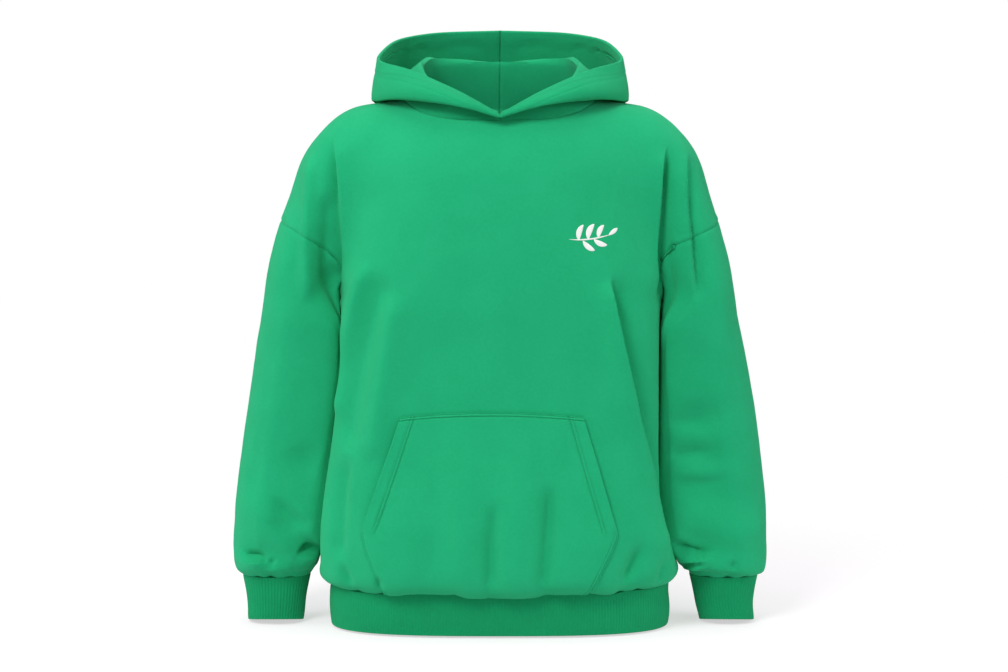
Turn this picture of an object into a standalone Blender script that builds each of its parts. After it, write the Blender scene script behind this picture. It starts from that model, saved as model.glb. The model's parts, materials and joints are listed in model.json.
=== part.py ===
"""A pullover hoodie in heavy brushed fleece, in the shape it takes when worn, with nobody in it.

The hoodie is built from the pieces a maker cuts: front, back, two sleeves, two cuffs, hem band,
pouch pocket and the two halves of the hood. Every piece is a thin wall of cloth, open where the
garment is open, and 0.3 mm from its neighbour along each seam.

Units are metres. +Z is up, the chest faces -Y, and the wearer's right arm is on the -X side.
The origin lies in the middle of the neck opening, level with the tops of the shoulders.
"""

import math
from typing import NamedTuple

import bpy
import numpy as np

# ---------------------------------------------------------------- cloth

FLEECE = 0.0024  # body and sleeve cloth
RIB = 0.0028  # cuffs and hem band, which are knitted double
HOOD_CLOTH = 0.0026
HOOD_HEM = 0.0016  # what the turned hem adds along the hood's opening
POCKET_CLOTH = 0.0020
SEAM_HALF = 0.00018  # half the gap between two pieces that are sewn together
ARMPIT_ROOM = 0.0009  # room between sleeve and body where both hang from the armpit
POCKET_LIFT = 0.0009  # gap between the pocket and the front it lies on
SLEEVE_HANG = 0.0022  # room between a hanging sleeve and the body beside it
CLOTHS_HANG = (0.005, 0.006)  # height over the armpit where both cloths turn down, and over what length
ROOM_STARTS = (0.030, 0.015)  # the same for the room between them

# ---------------------------------------------------------------- how finely each piece is divided

NECK_CELLS = 16  # along the front or the back half of the neck seam
SHOULDER_CELLS = 8  # along one shoulder seam
SIDE_CELLS = 16  # from the hem seam up to the armpit
ARMHOLE_CELLS = 11  # from the armpit up to the shoulder
SLEEVE_CELLS = 18  # along a sleeve
BAND_CELLS = 3  # up a cuff or the hem band
HOOD_CELLS = 18  # from the neck seam to the hood's opening
BODY_CELLS = NECK_CELLS + 2 * SHOULDER_CELLS
ARMPIT_ROWS, ARMPIT_SPACE = 5, 0.009  # rows kept clear of the armhole's lower end, and how far a column
SPREAD_ROUNDS, SETTLE_ROUNDS = 400, 30  # rounds that even out a panel's cells, off and on the form
PANEL_BULGE = 0.060  # how far a panel is blown up before it settles on the outside of the form
SLEEVE_CROWD, TURN_FADE = 1.15, 3  # how far rows crowd to the cuff, and columns keep the armhole's spacing


# ---------------------------------------------------------------- sections


class Ring(NamedTuple):
    """A level section of the body, with half widths to the left and right and depths from the side seam."""

    height: float
    left: float
    right: float
    front: float
    back: float
    square: float


BODY = (
    Ring(0.055, 0.060, 0.060, 0.015, 0.040, 2.2),
    Ring(0.012, 0.098, 0.098, 0.062, 0.086, 2.2),
    Ring(-0.025, 0.130, 0.130, 0.094, 0.104, 2.2),
    Ring(-0.055, 0.158, 0.158, 0.114, 0.113, 2.3),
    Ring(-0.095, 0.184, 0.184, 0.127, 0.120, 2.5),
    Ring(-0.160, 0.200, 0.202, 0.136, 0.126, 2.7),
    Ring(-0.250, 0.2065, 0.209, 0.140, 0.130, 2.8),
    Ring(-0.310, 0.2067, 0.2095, 0.139, 0.131, 2.8),
    Ring(-0.385, 0.2142, 0.2110, 0.139, 0.133, 2.8),
    Ring(-0.462, 0.2216, 0.2075, 0.142, 0.136, 2.8),
    Ring(-0.500, 0.2260, 0.2065, 0.144, 0.138, 2.8),
    Ring(-0.540, 0.2297, 0.2140, 0.146, 0.140, 2.8),
    Ring(-0.570, 0.2315, 0.2250, 0.146, 0.140, 2.8),
    Ring(-0.590, 0.2305, 0.2275, 0.142, 0.136, 2.8),
    Ring(-0.604, 0.2265, 0.2240, 0.131, 0.126, 2.9),
    Ring(-0.6125, 0.2175, 0.2165, 0.114, 0.110, 3.0),
    Ring(-0.640, 0.2185, 0.2175, 0.110, 0.106, 3.1),
    Ring(-0.6645, 0.2170, 0.2160, 0.105, 0.101, 3.1),
)
HEM_SEAM = -0.6125
HEM = -0.6645


class Arm(NamedTuple):
    """A section across a sleeve: where its middle lies, its half width and its half depth."""

    x_left: float
    x_right: float
    height: float
    wide_left: float
    wide_right: float
    deep: float
    middle: float


ARM = (
    Arm(0.0000, 0.0000, -0.0860, 0.0700, 0.0700, 0.080, 0.004),
    Arm(0.0600, 0.0600, -0.0820, 0.0700, 0.0700, 0.080, 0.004),
    Arm(0.1150, 0.1150, -0.0750, 0.0700, 0.0700, 0.080, 0.004),
    Arm(0.1610, 0.1610, -0.0690, 0.0668, 0.0672, 0.082, 0.006),
    Arm(0.1990, 0.1990, -0.0900, 0.0553, 0.0566, 0.088, 0.008),
    Arm(0.2235, 0.2235, -0.1400, 0.0482, 0.0487, 0.094, 0.010),
    Arm(0.2415, 0.2415, -0.1960, 0.0490, 0.0490, 0.098, 0.012),
    Arm(0.2555, 0.2568, -0.2550, 0.0460, 0.0448, 0.098, 0.012),
    Arm(0.2575, 0.2588, -0.3100, 0.0546, 0.0533, 0.092, 0.012),
    Arm(0.2662, 0.2646, -0.3850, 0.0584, 0.0600, 0.085, 0.012),
    Arm(0.2750, 0.2700, -0.4620, 0.0596, 0.0685, 0.078, 0.012),
    Arm(0.2790, 0.2722, -0.5000, 0.0595, 0.0713, 0.075, 0.012),
    Arm(0.2834, 0.2790, -0.5400, 0.0587, 0.0690, 0.072, 0.010),
    Arm(0.2890, 0.2852, -0.5750, 0.0560, 0.0618, 0.067, 0.008),
    Arm(0.2890, 0.2885, -0.6000, 0.0535, 0.0548, 0.057, 0.004),
    Arm(0.2880, 0.2880, -0.6125, 0.0415, 0.0425, 0.038, 0.002),
    Arm(0.2890, 0.2890, -0.6400, 0.0370, 0.0370, 0.033, 0.000),
    Arm(0.2900, 0.2930, -0.6655, 0.0355, 0.0355, 0.031, 0.000),
)
ARM_SQUARE = 2.3
CUFF_SEAM = 15.0  # the row of ARM where the cuff is sewn on
CUFF_END = 17.0
CUFF_LEAN = 0.4  # how the walls lean where sleeve and cuff meet
ARM_STEPS = 6  # stretches between two rows of ARM


class Bridge(NamedTuple):
    """How far the cloth bridges the corner between body and sleeve, at a height."""

    height: float
    reach: float


BRIDGE = (
    Bridge(0.050, 0.060),
    Bridge(-0.050, 0.060),
    Bridge(-0.140, 0.055),
    Bridge(-0.200, 0.045),
    Bridge(-0.235, 0.026),
    Bridge(-0.255, 0.006),
    Bridge(-0.285, 1e-4),
    Bridge(-0.660, 1e-4),
)
ARMPIT = (-0.208, 0.0, -0.250)
SHOULDER_END = (-0.284, 0.010, -0.146)

# ---------------------------------------------------------------- folds

FRONT, BACK = -1.0, 1.0


class Fold(NamedTuple):
    """A soft ridge (height over 0) or trough along a bent line, seen from the front, as (x, z)."""

    cloth: str
    face: float
    start: tuple
    bend: tuple
    end: tuple
    width: float
    height: float


FOLDS = (
    Fold("body", FRONT, (-0.148, -0.165), (-0.168, -0.240), (-0.186, -0.320), 0.022, 0.0085),
    Fold("body", FRONT, (-0.160, -0.235), (-0.178, -0.320), (-0.200, -0.430), 0.022, -0.0095),
    Fold("body", FRONT, (-0.118, -0.205), (-0.142, -0.353), (-0.156, -0.470), 0.026, 0.0080),
    Fold("body", FRONT, (0.124, -0.185), (0.152, -0.310), (0.180, -0.450), 0.024, 0.0090),
    Fold("body", FRONT, (0.155, -0.225), (0.184, -0.360), (0.200, -0.520), 0.022, -0.0130),
    Fold("body", FRONT, (0.058, -0.440), (0.056, -0.530), (0.052, -0.606), 0.022, -0.0060),
    Fold("body", FRONT, (-0.018, -0.520), (-0.014, -0.570), (-0.014, -0.610), 0.020, -0.0055),
    Fold("body", FRONT, (-0.082, -0.510), (-0.080, -0.560), (-0.083, -0.608), 0.022, -0.0050),
    Fold("body", FRONT, (0.168, -0.530), (0.160, -0.575), (0.156, -0.608), 0.022, -0.0055),
    Fold("body", FRONT, (-0.192, -0.470), (-0.186, -0.540), (-0.178, -0.606), 0.020, -0.0055),
    Fold("body", FRONT, (-0.048, -0.450), (-0.048, -0.530), (-0.050, -0.600), 0.024, 0.0045),
    Fold("body", FRONT, (0.022, -0.460), (0.020, -0.535), (0.018, -0.600), 0.024, 0.0045),
    Fold("both", FRONT, (-0.206, -0.045), (-0.199, -0.130), (-0.206, -0.225), 0.024, -0.0120),
    Fold("both", FRONT, (0.206, -0.045), (0.199, -0.125), (0.205, -0.220), 0.024, -0.0110),
    Fold("both", FRONT, (-0.246, -0.070), (-0.250, -0.160), (-0.256, -0.270), 0.022, -0.0060),
    Fold("both", FRONT, (0.244, -0.070), (0.247, -0.155), (0.254, -0.265), 0.022, -0.0060),
    Fold("both", BACK, (-0.204, -0.060), (-0.198, -0.140), (-0.205, -0.225), 0.024, -0.0085),
    Fold("both", BACK, (0.204, -0.060), (0.200, -0.145), (0.205, -0.225), 0.024, -0.0120),
    Fold("body", BACK, (-0.140, -0.190), (-0.168, -0.290), (-0.194, -0.400), 0.024, -0.0100),
    Fold("body", BACK, (-0.112, -0.170), (-0.134, -0.300), (-0.152, -0.430), 0.026, 0.0075),
    Fold("body", BACK, (0.150, -0.200), (0.176, -0.310), (0.192, -0.430), 0.024, -0.0105),
    Fold("body", BACK, (0.110, -0.180), (0.136, -0.320), (0.150, -0.450), 0.026, 0.0075),
    Fold("body", BACK, (-0.090, -0.470), (-0.088, -0.540), (-0.092, -0.606), 0.022, -0.0065),
    Fold("body", BACK, (0.012, -0.490), (0.010, -0.550), (0.012, -0.608), 0.022, -0.0060),
    Fold("body", BACK, (0.104, -0.460), (0.100, -0.530), (0.098, -0.606), 0.022, -0.0065),
    Fold("sleeve", FRONT, (-0.338, -0.566), (-0.303, -0.560), (-0.266, -0.586), 0.015, -0.0070),
    Fold("sleeve", FRONT, (-0.262, -0.572), (-0.248, -0.562), (-0.236, -0.546), 0.016, -0.0085),
    Fold("sleeve", FRONT, (-0.262, -0.432), (-0.244, -0.458), (-0.228, -0.462), 0.020, -0.0065),
    Fold("sleeve", FRONT, (-0.330, -0.490), (-0.300, -0.522), (-0.260, -0.530), 0.024, 0.0060),
    Fold("sleeve", FRONT, (0.216, -0.388), (0.246, -0.402), (0.278, -0.390), 0.018, -0.0065),
    Fold("sleeve", FRONT, (0.214, -0.434), (0.244, -0.450), (0.280, -0.440), 0.018, -0.0065),
    Fold("sleeve", FRONT, (0.214, -0.480), (0.250, -0.498), (0.292, -0.490), 0.018, -0.0060),
    Fold("sleeve", FRONT, (0.228, -0.540), (0.258, -0.560), (0.292, -0.572), 0.016, -0.0085),
    Fold("sleeve", FRONT, (0.286, -0.540), (0.312, -0.548), (0.336, -0.538), 0.018, 0.0050),
    Fold("sleeve", BACK, (-0.330, -0.552), (-0.298, -0.568), (-0.262, -0.560), 0.016, -0.0075),
    Fold("sleeve", BACK, (-0.310, -0.420), (-0.282, -0.440), (-0.246, -0.432), 0.020, -0.0065),
    Fold("sleeve", BACK, (0.240, -0.550), (0.282, -0.568), (0.322, -0.556), 0.016, -0.0075),
    Fold("sleeve", BACK, (0.234, -0.410), (0.268, -0.430), (0.304, -0.420), 0.020, -0.0065),
)
FOLD_STEPS = 8  # straight stretches that stand for one bent line
FACE_FADE = 0.045  # how far from the side seam a fold takes to reach its full height
SEAM_FADE = 0.014  # how far above the hem or cuff seam a fold dies away


# ---------------------------------------------------------------- pocket


class PocketRow(NamedTuple):
    """The pocket's left and right edge at a height."""

    height: float
    left: float
    right: float
    cells: int


POCKET = (
    PocketRow(-0.6112, -0.1430, 0.1085, 3),
    PocketRow(-0.6000, -0.1480, 0.1140, 3),
    PocketRow(-0.5500, -0.1665, 0.1375, 1),
    PocketRow(-0.5320, -0.1700, 0.1440, 8),
    PocketRow(-0.3865, -0.1215, 0.1020, 0),
)
POCKET_COLUMNS = 14
POCKET_PUFF = 0.0022  # how far the middle of the pocket stands off

# ---------------------------------------------------------------- hood


class HoodRib(NamedTuple):
    """One line up the left half of the hood: where it turns over inside, hangs lowest, and ends."""

    along: float
    ridge: tuple
    lining: tuple
    bag: tuple
    under: tuple
    outer: tuple
    rim: tuple


HOOD = (
    HoodRib(0.00, (0.000, -0.099, -0.0150), (0.000, -0.104, -0.0150), (0.000, -0.110, -0.0190),
            (0.000, -0.114, -0.0200), (0.000, -0.116, -0.0170), (0.000, -0.1135, -0.0120)),
    HoodRib(0.14, (-0.042, -0.094, -0.006), (-0.045, -0.100, -0.005), (-0.047, -0.106, -0.009),
            (-0.048, -0.112, -0.010), (-0.049, -0.111, -0.001), (-0.047, -0.099, 0.009)),
    HoodRib(0.30, (-0.088, -0.064, 0.017), (-0.098, -0.066, 0.009), (-0.108, -0.070, 0.001),
            (-0.116, -0.076, 0.001), (-0.117, -0.076, 0.015), (-0.105, -0.064, 0.036)),
    HoodRib(0.50, (-0.110, -0.006, 0.046), (-0.132, -0.002, 0.026), (-0.147, 0.000, 0.008),
            (-0.1610, 0.000, -0.002), (-0.1625, 0.000, 0.016), (-0.1560, 0.002, 0.056)),
    HoodRib(0.70, (-0.100, 0.052, 0.056), (-0.122, 0.074, 0.010), (-0.133, 0.084, -0.030),
            (-0.148, 0.094, -0.026), (-0.152, 0.094, 0.024), (-0.137, 0.078, 0.083)),
    HoodRib(0.85, (-0.056, 0.080, 0.056), (-0.069, 0.118, -0.020), (-0.077, 0.130, -0.096),
            (-0.089, 0.152, -0.098), (-0.093, 0.158, -0.010), (-0.080, 0.132, 0.097)),
    HoodRib(1.00, (0.000, 0.090, 0.053), (0.000, 0.127, -0.050), (0.000, 0.140, -0.140),
            (0.000, 0.176, -0.146), (0.000, 0.192, -0.040), (0.000, 0.154, 0.1010)),
)
HOOD_SPREAD = (0, 0.14, 0.34, 0.50, 0.60, 0.80, 1)  # how the hood's rows are shared between its lines
HOOD_CLEAR = 0.0035  # least distance from the hood to the shoulders and back under it
HOOD_HEM_ROWS = 2
NECK_WIDE = 0.125
NECK_FRONT = 0.097
NECK_BACK = 0.088
NECK_SQUARE = 2.4


class Finish(NamedTuple):
    """Plain colour and roughness of a piece."""

    color: tuple
    roughness: float


JERSEY = Finish((0.026, 0.418, 0.186), 0.92)
RIBBING = Finish((0.014, 0.305, 0.118), 0.94)


# ---------------------------------------------------------------- curves


def column(rows, name):
    """One named column of a table."""
    return np.array([getattr(row, name) for row in rows], float)


def track(stops, values, at):
    """Smooth values along a table, which never overshoot its rows."""
    stops, values = np.asarray(stops, float), np.asarray(values, float)
    if stops[0] > stops[-1]:
        stops, values = stops[::-1], values[::-1]
    step = np.diff(stops)
    rise = np.diff(values) / step
    same = rise[:-1] * rise[1:] > 0
    total = np.where(same, rise[:-1] + rise[1:], 1.0)
    slope = np.concatenate([rise[:1], np.where(same, 2 * rise[:-1] * rise[1:] / total, 0.0), rise[-1:]])
    at = np.clip(at, stops[0], stops[-1])
    k = np.clip(np.searchsorted(stops, at, side="right") - 1, 0, len(step) - 1)
    u = (at - stops[k]) / step[k]
    start, end = values[k], values[k + 1]
    leave, arrive = slope[k] * step[k], slope[k + 1] * step[k]
    blend = u * u * (3 - 2 * u)
    return start + (end - start) * blend + u * (1 - u) ** 2 * leave - u * u * (1 - u) * arrive


def spline(keys, at):
    """Points of a smooth curve through keys, where at counts keys from 0."""
    keys = np.asarray(keys, float)
    last = len(keys) - 1
    links = np.diag(np.full(last + 1, 4.0)) + np.diag(np.ones(last), 1) + np.diag(np.ones(last), -1)
    links[0], links[-1] = 0, 0
    links[0, 0] = links[-1, -1] = 6
    control = np.tensordot(np.linalg.inv(links / 6), keys, 1)
    control = np.concatenate([[2 * control[0] - control[1]], control, [2 * control[-1] - control[-2]]])
    at = np.asarray(at, float)
    k = np.clip(at.astype(int), 0, last - 1)
    u = (at - k).reshape((-1,) + (1,) * (keys.ndim - 1))
    weights = ((1 - u) ** 3, 3 * u**3 - 6 * u**2 + 4, -3 * u**3 + 3 * u**2 + 3 * u + 1, u**3)
    return sum(weight * control[k + i] for i, weight in enumerate(weights)) / 6


def evenly(points, cells):
    """The same curve as points an equal length apart."""
    lengths = np.linalg.norm(np.diff(points, axis=0), axis=1)
    along = np.concatenate([[0], np.cumsum(lengths)])
    at = np.linspace(0, along[-1], cells + 1)
    return np.stack([np.interp(at, along, points[:, i]) for i in range(3)], axis=1)


def power(value, exponent):
    """A power that keeps the value's sign."""
    return np.sign(value) * np.abs(value) ** exponent


# ---------------------------------------------------------------- the form under the cloth


def body_size(x, y, z):
    """Half width, depth and squareness of the body's section at each point."""
    heights = column(BODY, "height")
    half = np.where(x < 0, track(heights, column(BODY, "left"), z), track(heights, column(BODY, "right"), z))
    deep = np.where(y < 0, track(heights, column(BODY, "front"), z), track(heights, column(BODY, "back"), z))
    return half, deep, track(heights, column(BODY, "square"), z)


def body_gap(p):
    """About how far each point lies outside the body, without the sleeves."""
    x, y, z = p[..., 0], p[..., 1], p[..., 2]
    half, deep, square = body_size(x, y, z)
    size = ((np.abs(x) / half) ** square + (np.abs(y) / deep) ** square) ** (1 / square)
    return np.hypot(x, y) * (1 - 1 / np.maximum(size, 1e-6))


def body_point(angle, z):
    """A point of the body's section, with the angle counted from +X against the clock."""
    x, y = np.cos(angle), np.sin(angle)
    half, deep, square = body_size(x, y, z)
    return np.stack([half * power(x, 2 / square), deep * power(y, 2 / square), z + 0 * x], axis=-1)


def arm_line(side):
    """The sleeve's middle line and sizes as fine rows: x, z, half width, half depth, middle y."""
    at = np.linspace(0, len(ARM) - 1, ARM_STEPS * (len(ARM) - 1) + 1)
    names = ("x_" + side, "height", "wide_" + side, "deep", "middle")
    return np.stack([track(np.arange(len(ARM)), column(ARM, name), at) for name in names], axis=1)


ARM_LINES = {-1: arm_line("left"), 1: arm_line("right")}


def arm_place(p, side):
    """The nearest place on the sleeve's line, its sizes there, and how far outward the point lies."""
    line = ARM_LINES[side]
    q = np.stack([side * p[..., 0], p[..., 2]], axis=-1)
    start, run = line[:-1, :2], np.diff(line[:, :2], axis=0)
    from_start = q[..., None, :] - start
    share = np.clip((from_start * run).sum(-1) / (run * run).sum(-1), 0, 1)
    off = from_start - share[..., None] * run
    nearest = (off * off).sum(-1).argmin(-1)
    share = np.take_along_axis(share, nearest[..., None], -1)[..., 0]
    off = np.take_along_axis(off, nearest[..., None, None], -2)[..., 0, :]
    sizes = line[nearest] + (line[nearest + 1] - line[nearest]) * share[..., None]
    outward = off[..., 1] * run[nearest, 0] - off[..., 0] * run[nearest, 1]
    return (nearest + share) / ARM_STEPS, sizes, np.sign(outward) * np.linalg.norm(off, axis=-1)


def arm_gap(p):
    """About how far each point lies outside the nearer sleeve."""
    gap = np.empty(p.shape[:-1])
    for side in (-1, 1):
        mine = np.sign(p[..., 0] + 1e-12) == side
        _, sizes, out = arm_place(p[mine], side)
        y = p[mine][..., 1] - sizes[..., 4]
        size = (np.abs(out / sizes[..., 2]) ** ARM_SQUARE + np.abs(y / sizes[..., 3]) ** ARM_SQUARE)
        gap[mine] = np.hypot(out, y) * (1 - 1 / np.maximum(size ** (1 / ARM_SQUARE), 1e-6))
    return gap


def arm_point(at, angle, side):
    """A point of the sleeve's section at a row of ARM, with the angle counted from +X against the clock."""
    line = ARM_LINES[side]
    rows = np.arange(len(line)) / ARM_STEPS
    x, z, wide, deep, middle = (np.interp(at, rows, line[:, i]) for i in range(5))
    run = np.stack([np.interp(at, rows, np.gradient(line[:, i])) for i in range(2)])
    run /= np.linalg.norm(run, axis=0)
    out = wide * side * power(np.cos(angle), 2 / ARM_SQUARE)
    y = middle + deep * power(np.sin(angle), 2 / ARM_SQUARE)
    return np.stack([side * (x - run[1] * out), y, z + run[0] * out], axis=-1)


def form_gap(p, cloth):
    """How far points lie outside the form that the body's or the sleeves' cloth follows."""
    body, arm = body_gap(p), arm_gap(p)
    reach = track(column(BRIDGE, "height"), column(BRIDGE, "reach"), p[..., 2])
    fill = np.maximum(reach - np.abs(arm - body), 0) ** 2 / (4 * reach)
    if cloth == "sleeve":
        return arm - fill
    return np.where(p[..., 2] > ARMPIT[2], np.minimum(arm, body), body) - fill


def outward(p, cloth):
    """The form's outward direction at points near it, and its slope there."""
    step = 2e-4
    slopes = [form_gap(p + step * e, cloth) - form_gap(p - step * e, cloth) for e in np.eye(3)]
    slope = np.stack(slopes, axis=-1) / (2 * step)
    size = np.linalg.norm(slope, axis=-1, keepdims=True)
    return slope / np.maximum(size, 1e-9), size[..., 0]


def settle(p, cloth, rounds=4):
    """Points moved onto the form."""
    for _ in range(rounds):
        normal, size = outward(p, cloth)
        p = p - (form_gap(p, cloth) / np.maximum(size, 0.25))[..., None] * normal
    return p


# ---------------------------------------------------------------- folds


def bent_line(fold):
    """A fold's line as short straight stretches."""
    t = np.linspace(0, 1, FOLD_STEPS + 1)[:, None]
    start, bend, end = (np.array(point) for point in (fold.start, fold.bend, fold.end))
    return (1 - t) ** 2 * start + 2 * t * (1 - t) * bend + t**2 * end


def fold_height(p, cloth):
    """How far folds move the cloth out at each point."""
    height = np.zeros(p.shape[:-1])
    q = p[..., [0, 2]]
    for fold in FOLDS:
        if fold.cloth not in (cloth, "both"):
            continue
        line = bent_line(fold)
        run = np.diff(line, axis=0)
        from_start = q[..., None, :] - line[:-1]
        share = np.clip((from_start * run).sum(-1) / (run * run).sum(-1), 0, 1)
        away = np.linalg.norm(from_start - share[..., None] * run, axis=-1)
        nearest = away.argmin(-1)
        place = (nearest + np.take_along_axis(share, nearest[..., None], -1)[..., 0]) / FOLD_STEPS
        swell = np.exp(-((away.min(-1) / fold.width) ** 2)) * (0.25 + 0.75 * np.sin(math.pi * place))
        height += fold.height * swell * np.clip(fold.face * p[..., 1] / FACE_FADE, 0, 1)
    fade = np.clip((p[..., 2] - HEM_SEAM) / SEAM_FADE, 0, 1)
    return height * fade * fade * (3 - 2 * fade)


# ---------------------------------------------------------------- meshes


SPLIT = np.array([0.37, 0.21, 1.0])  # the direction that tells which way a cut edge is split


def seam_shift(seam, second, closed=False):
    """How to draw a sewn edge in by half a seam, square to it and towards the sheet's second line."""
    run = np.roll(seam, -1, 0) - np.roll(seam, 1, 0) if closed else np.gradient(seam, axis=0)
    run /= np.linalg.norm(run, axis=-1, keepdims=True)
    inward = second - seam
    inward -= (inward * run).sum(-1, keepdims=True) * run
    return inward * (SEAM_HALF / np.linalg.norm(inward, axis=-1, keepdims=True))


def below_armpit(seam, stretch):
    """0 up the armhole and 1 at the armpit, changing over a stretch given as its start and its length."""
    start, length = stretch
    return np.clip((ARMPIT[2] + start - seam[:, 2]) / length, 0, 1)


def armhole_edges(side, face):
    """The folded armhole, the shift that opens its seam, and the two walls' directions at it.

    The shift is the panel's; the sleeve takes the opposite one. At the armpit the two cloths hang
    face to face, so there they part sideways and each wall keeps to its own side.
    """
    seam, normal = folded(armhole(side, face), "body")
    middle = normal.copy()
    middle[1:-1] = normal[:-2] + 2 * normal[1:-1] + normal[2:]
    middle /= np.linalg.norm(middle, axis=1, keepdims=True)
    run = np.gradient(seam, axis=0)
    run[-1] = run[0] = (0, face, 0)
    across = np.cross(middle, run)
    across *= np.where(across @ np.array([-side, 0, 1.0]) < 0, -1, 1)[:, None]
    across /= np.linalg.norm(across, axis=1, keepdims=True)
    hang = below_armpit(seam, CLOTHS_HANG)[:, None]
    across = (1 - hang) * across + hang * np.array([-side, 0, 0])
    across *= SEAM_HALF / np.linalg.norm(across, axis=1, keepdims=True)
    walls = [(1 - hang) * middle + hang * np.array([sign * side, 0, -1]) for sign in (1, -1)]
    return seam, across, *walls


def inset(grid, edges, closed=False):
    """A sheet's points with its sewn edges drawn in."""
    whole, grid = grid, grid.copy()
    lines = {"bottom": (0, 1), "top": (-1, -2)}
    for edge in edges:
        first, second = lines[edge]
        grid[first] += seam_shift(whole[first], whole[second], closed=closed)
    return grid


def shell(name, outer, inner, finish, closed=False):
    """One closed wall of cloth between an outer and an inner sheet of points."""
    rows, columns = outer.shape[:2]
    points = np.concatenate([outer.reshape(-1, 3), inner.reshape(-1, 3)])
    under = rows * columns
    faces = []

    def at(row, col):
        return row * columns + col % columns

    for row in range(rows - 1):
        for col in range(columns if closed else columns - 1):
            quad = (at(row, col), at(row, col + 1), at(row + 1, col + 1), at(row + 1, col))
            faces.append(quad)
            faces.append(tuple(under + i for i in reversed(quad)))

    def cut(first, second):
        """The cloth's edge between two outer points, split the same way on both sides of a seam."""
        if points[first] @ SPLIT < points[second] @ SPLIT:
            faces.extend(((first, second, under + second), (first, under + second, under + first)))
        else:
            faces.extend(((first, second, under + first), (second, under + second, under + first)))

    for col in range(columns if closed else columns - 1):
        cut(at(0, col + 1), at(0, col))
        cut(at(rows - 1, col), at(rows - 1, col + 1))
    if not closed:
        for row in range(rows - 1):
            cut(at(row, 0), at(row + 1, 0))
            cut(at(row + 1, columns - 1), at(row, columns - 1))

    mesh = bpy.data.meshes.new(name)
    mesh.from_pydata(points.tolist(), [], faces)
    mesh.update()
    mesh.shade_smooth()
    mesh.set_sharp_from_angle(angle=math.radians(50))
    mesh.materials.append(material(name, finish))
    piece = bpy.data.objects.new(name, mesh)
    bpy.context.scene.collection.objects.link(piece)
    return piece


def material(name, finish):
    """A plain material of the piece's colour and roughness."""
    made = bpy.data.materials.new(name + "_cloth")
    made.use_nodes = True
    shader = made.node_tree.nodes["Principled BSDF"]
    shader.inputs["Base Color"].default_value = (*finish.color, 1)
    shader.inputs["Roughness"].default_value = finish.roughness
    shader.inputs["Metallic"].default_value = 0
    return made


def ring_normal(ring, lean):
    """Directions out of a closed level ring of points, leaning down."""
    run = np.roll(ring, -1, 0) - np.roll(ring, 1, 0)
    normal = np.stack([run[:, 1], -run[:, 0], -lean * np.hypot(run[:, 0], run[:, 1])], axis=1)
    return normal / np.linalg.norm(normal, axis=1, keepdims=True)


def mitre(first, second):
    """The direction that carries a wall's inner edge where two walls meet at an angle."""
    total = first + second
    facing = np.maximum((first * second).sum(-1, keepdims=True), -0.2)
    return total / (1 + facing)


# ---------------------------------------------------------------- seams


def neck_seam(face):
    """Half of the neck seam, from the left shoulder round the front or back to the right one."""
    angle = np.linspace(math.pi, 0, 60)
    deep = NECK_FRONT if face == FRONT else NECK_BACK
    x, y = power(np.cos(angle), 2 / NECK_SQUARE), power(np.sin(angle), 2 / NECK_SQUARE)
    points = np.stack([NECK_WIDE * x, face * deep * y, 0 * angle], axis=1)
    low, high = np.full(len(points), -0.07), np.full(len(points), 0.05)
    for _ in range(24):
        points[:, 2] = (low + high) / 2
        inside = form_gap(points, "body") < 0
        low, high = np.where(inside, points[:, 2], low), np.where(inside, high, points[:, 2])
    return evenly(points, NECK_CELLS)


def mirrored(points):
    """Points moved to the other side of the body."""
    return points * np.array([-1, 1, 1])


def shoulder_seam(side):
    """From the neck out to the top of the sleeve."""
    neck = neck_seam(FRONT)[0 if side < 0 else -1]
    end = mirrored(np.array(SHOULDER_END)) if side > 0 else np.array(SHOULDER_END)
    ends = [arm_place(point[None], side)[0][0] for point in (neck, end)]
    at = np.linspace(ends[0], ends[1], 40)
    points = arm_point(at, np.full(40, math.pi if side < 0 else 0.0), side)
    points[0] = neck
    points = evenly(settle(points, "body"), SHOULDER_CELLS)
    points[0] = neck
    return points


def side_seam(side):
    """From the hem seam up to the armpit, with its rows closer together over the hem."""
    steps = np.minimum(0.18 + 0.16 * np.arange(SIDE_CELLS), 1.0)
    share = np.concatenate([[0], np.cumsum(steps)]) / steps.sum()
    z = HEM_SEAM + (ARMPIT[2] - HEM_SEAM) * share
    points = body_point(np.full(len(z), math.pi if side < 0 else 0.0), z)
    return settle(points, "body")


def armhole(side, face):
    """From the armpit round the front or back of the sleeve up to the shoulder."""
    middle = ARM[6].middle
    deep = ARM[6].deep * face
    keys = [
        side_seam(side)[-1],
        (side * 0.2065, middle + 0.62 * deep, -0.226),
        (side * 0.214, middle + 0.98 * deep, -0.197),
        (side * 0.246, middle + 0.95 * deep, -0.172),
        shoulder_seam(side)[-1],
    ]
    points = settle(spline(keys, np.linspace(0, 4, 60)), "body")
    points[0], points[-1] = keys[0], keys[-1]
    return evenly(points, ARMHOLE_CELLS)


# ---------------------------------------------------------------- pieces


def patch(bottom, top, left, right):
    """A sheet of points inside four edges."""
    s = np.linspace(0, 1, len(bottom))[None, :, None]
    t = np.linspace(0, 1, len(left))[:, None, None]
    across = (1 - s) * left[:, None] + s * right[:, None]
    upward = (1 - t) * bottom[None] + t * top[None]
    corners = (1 - t) * ((1 - s) * bottom[0] + s * bottom[-1]) + t * ((1 - s) * top[0] + s * top[-1])
    return across + upward - corners


def evened(grid):
    """A sheet's inner points moved half way to the middle of their neighbours, keeping the rows' spacing."""
    rise = np.linalg.norm(np.diff(grid[:, 0], axis=0), axis=1)
    below, above = rise[:-1, None, None], rise[1:, None, None]
    upward = (grid[:-2, 1:-1] * above + grid[2:, 1:-1] * below) / (below + above)
    middle = (upward + (grid[1:-1, :-2] + grid[1:-1, 2:]) / 2) / 2
    return 0.5 * middle + 0.5 * grid[1:-1, 1:-1]


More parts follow.
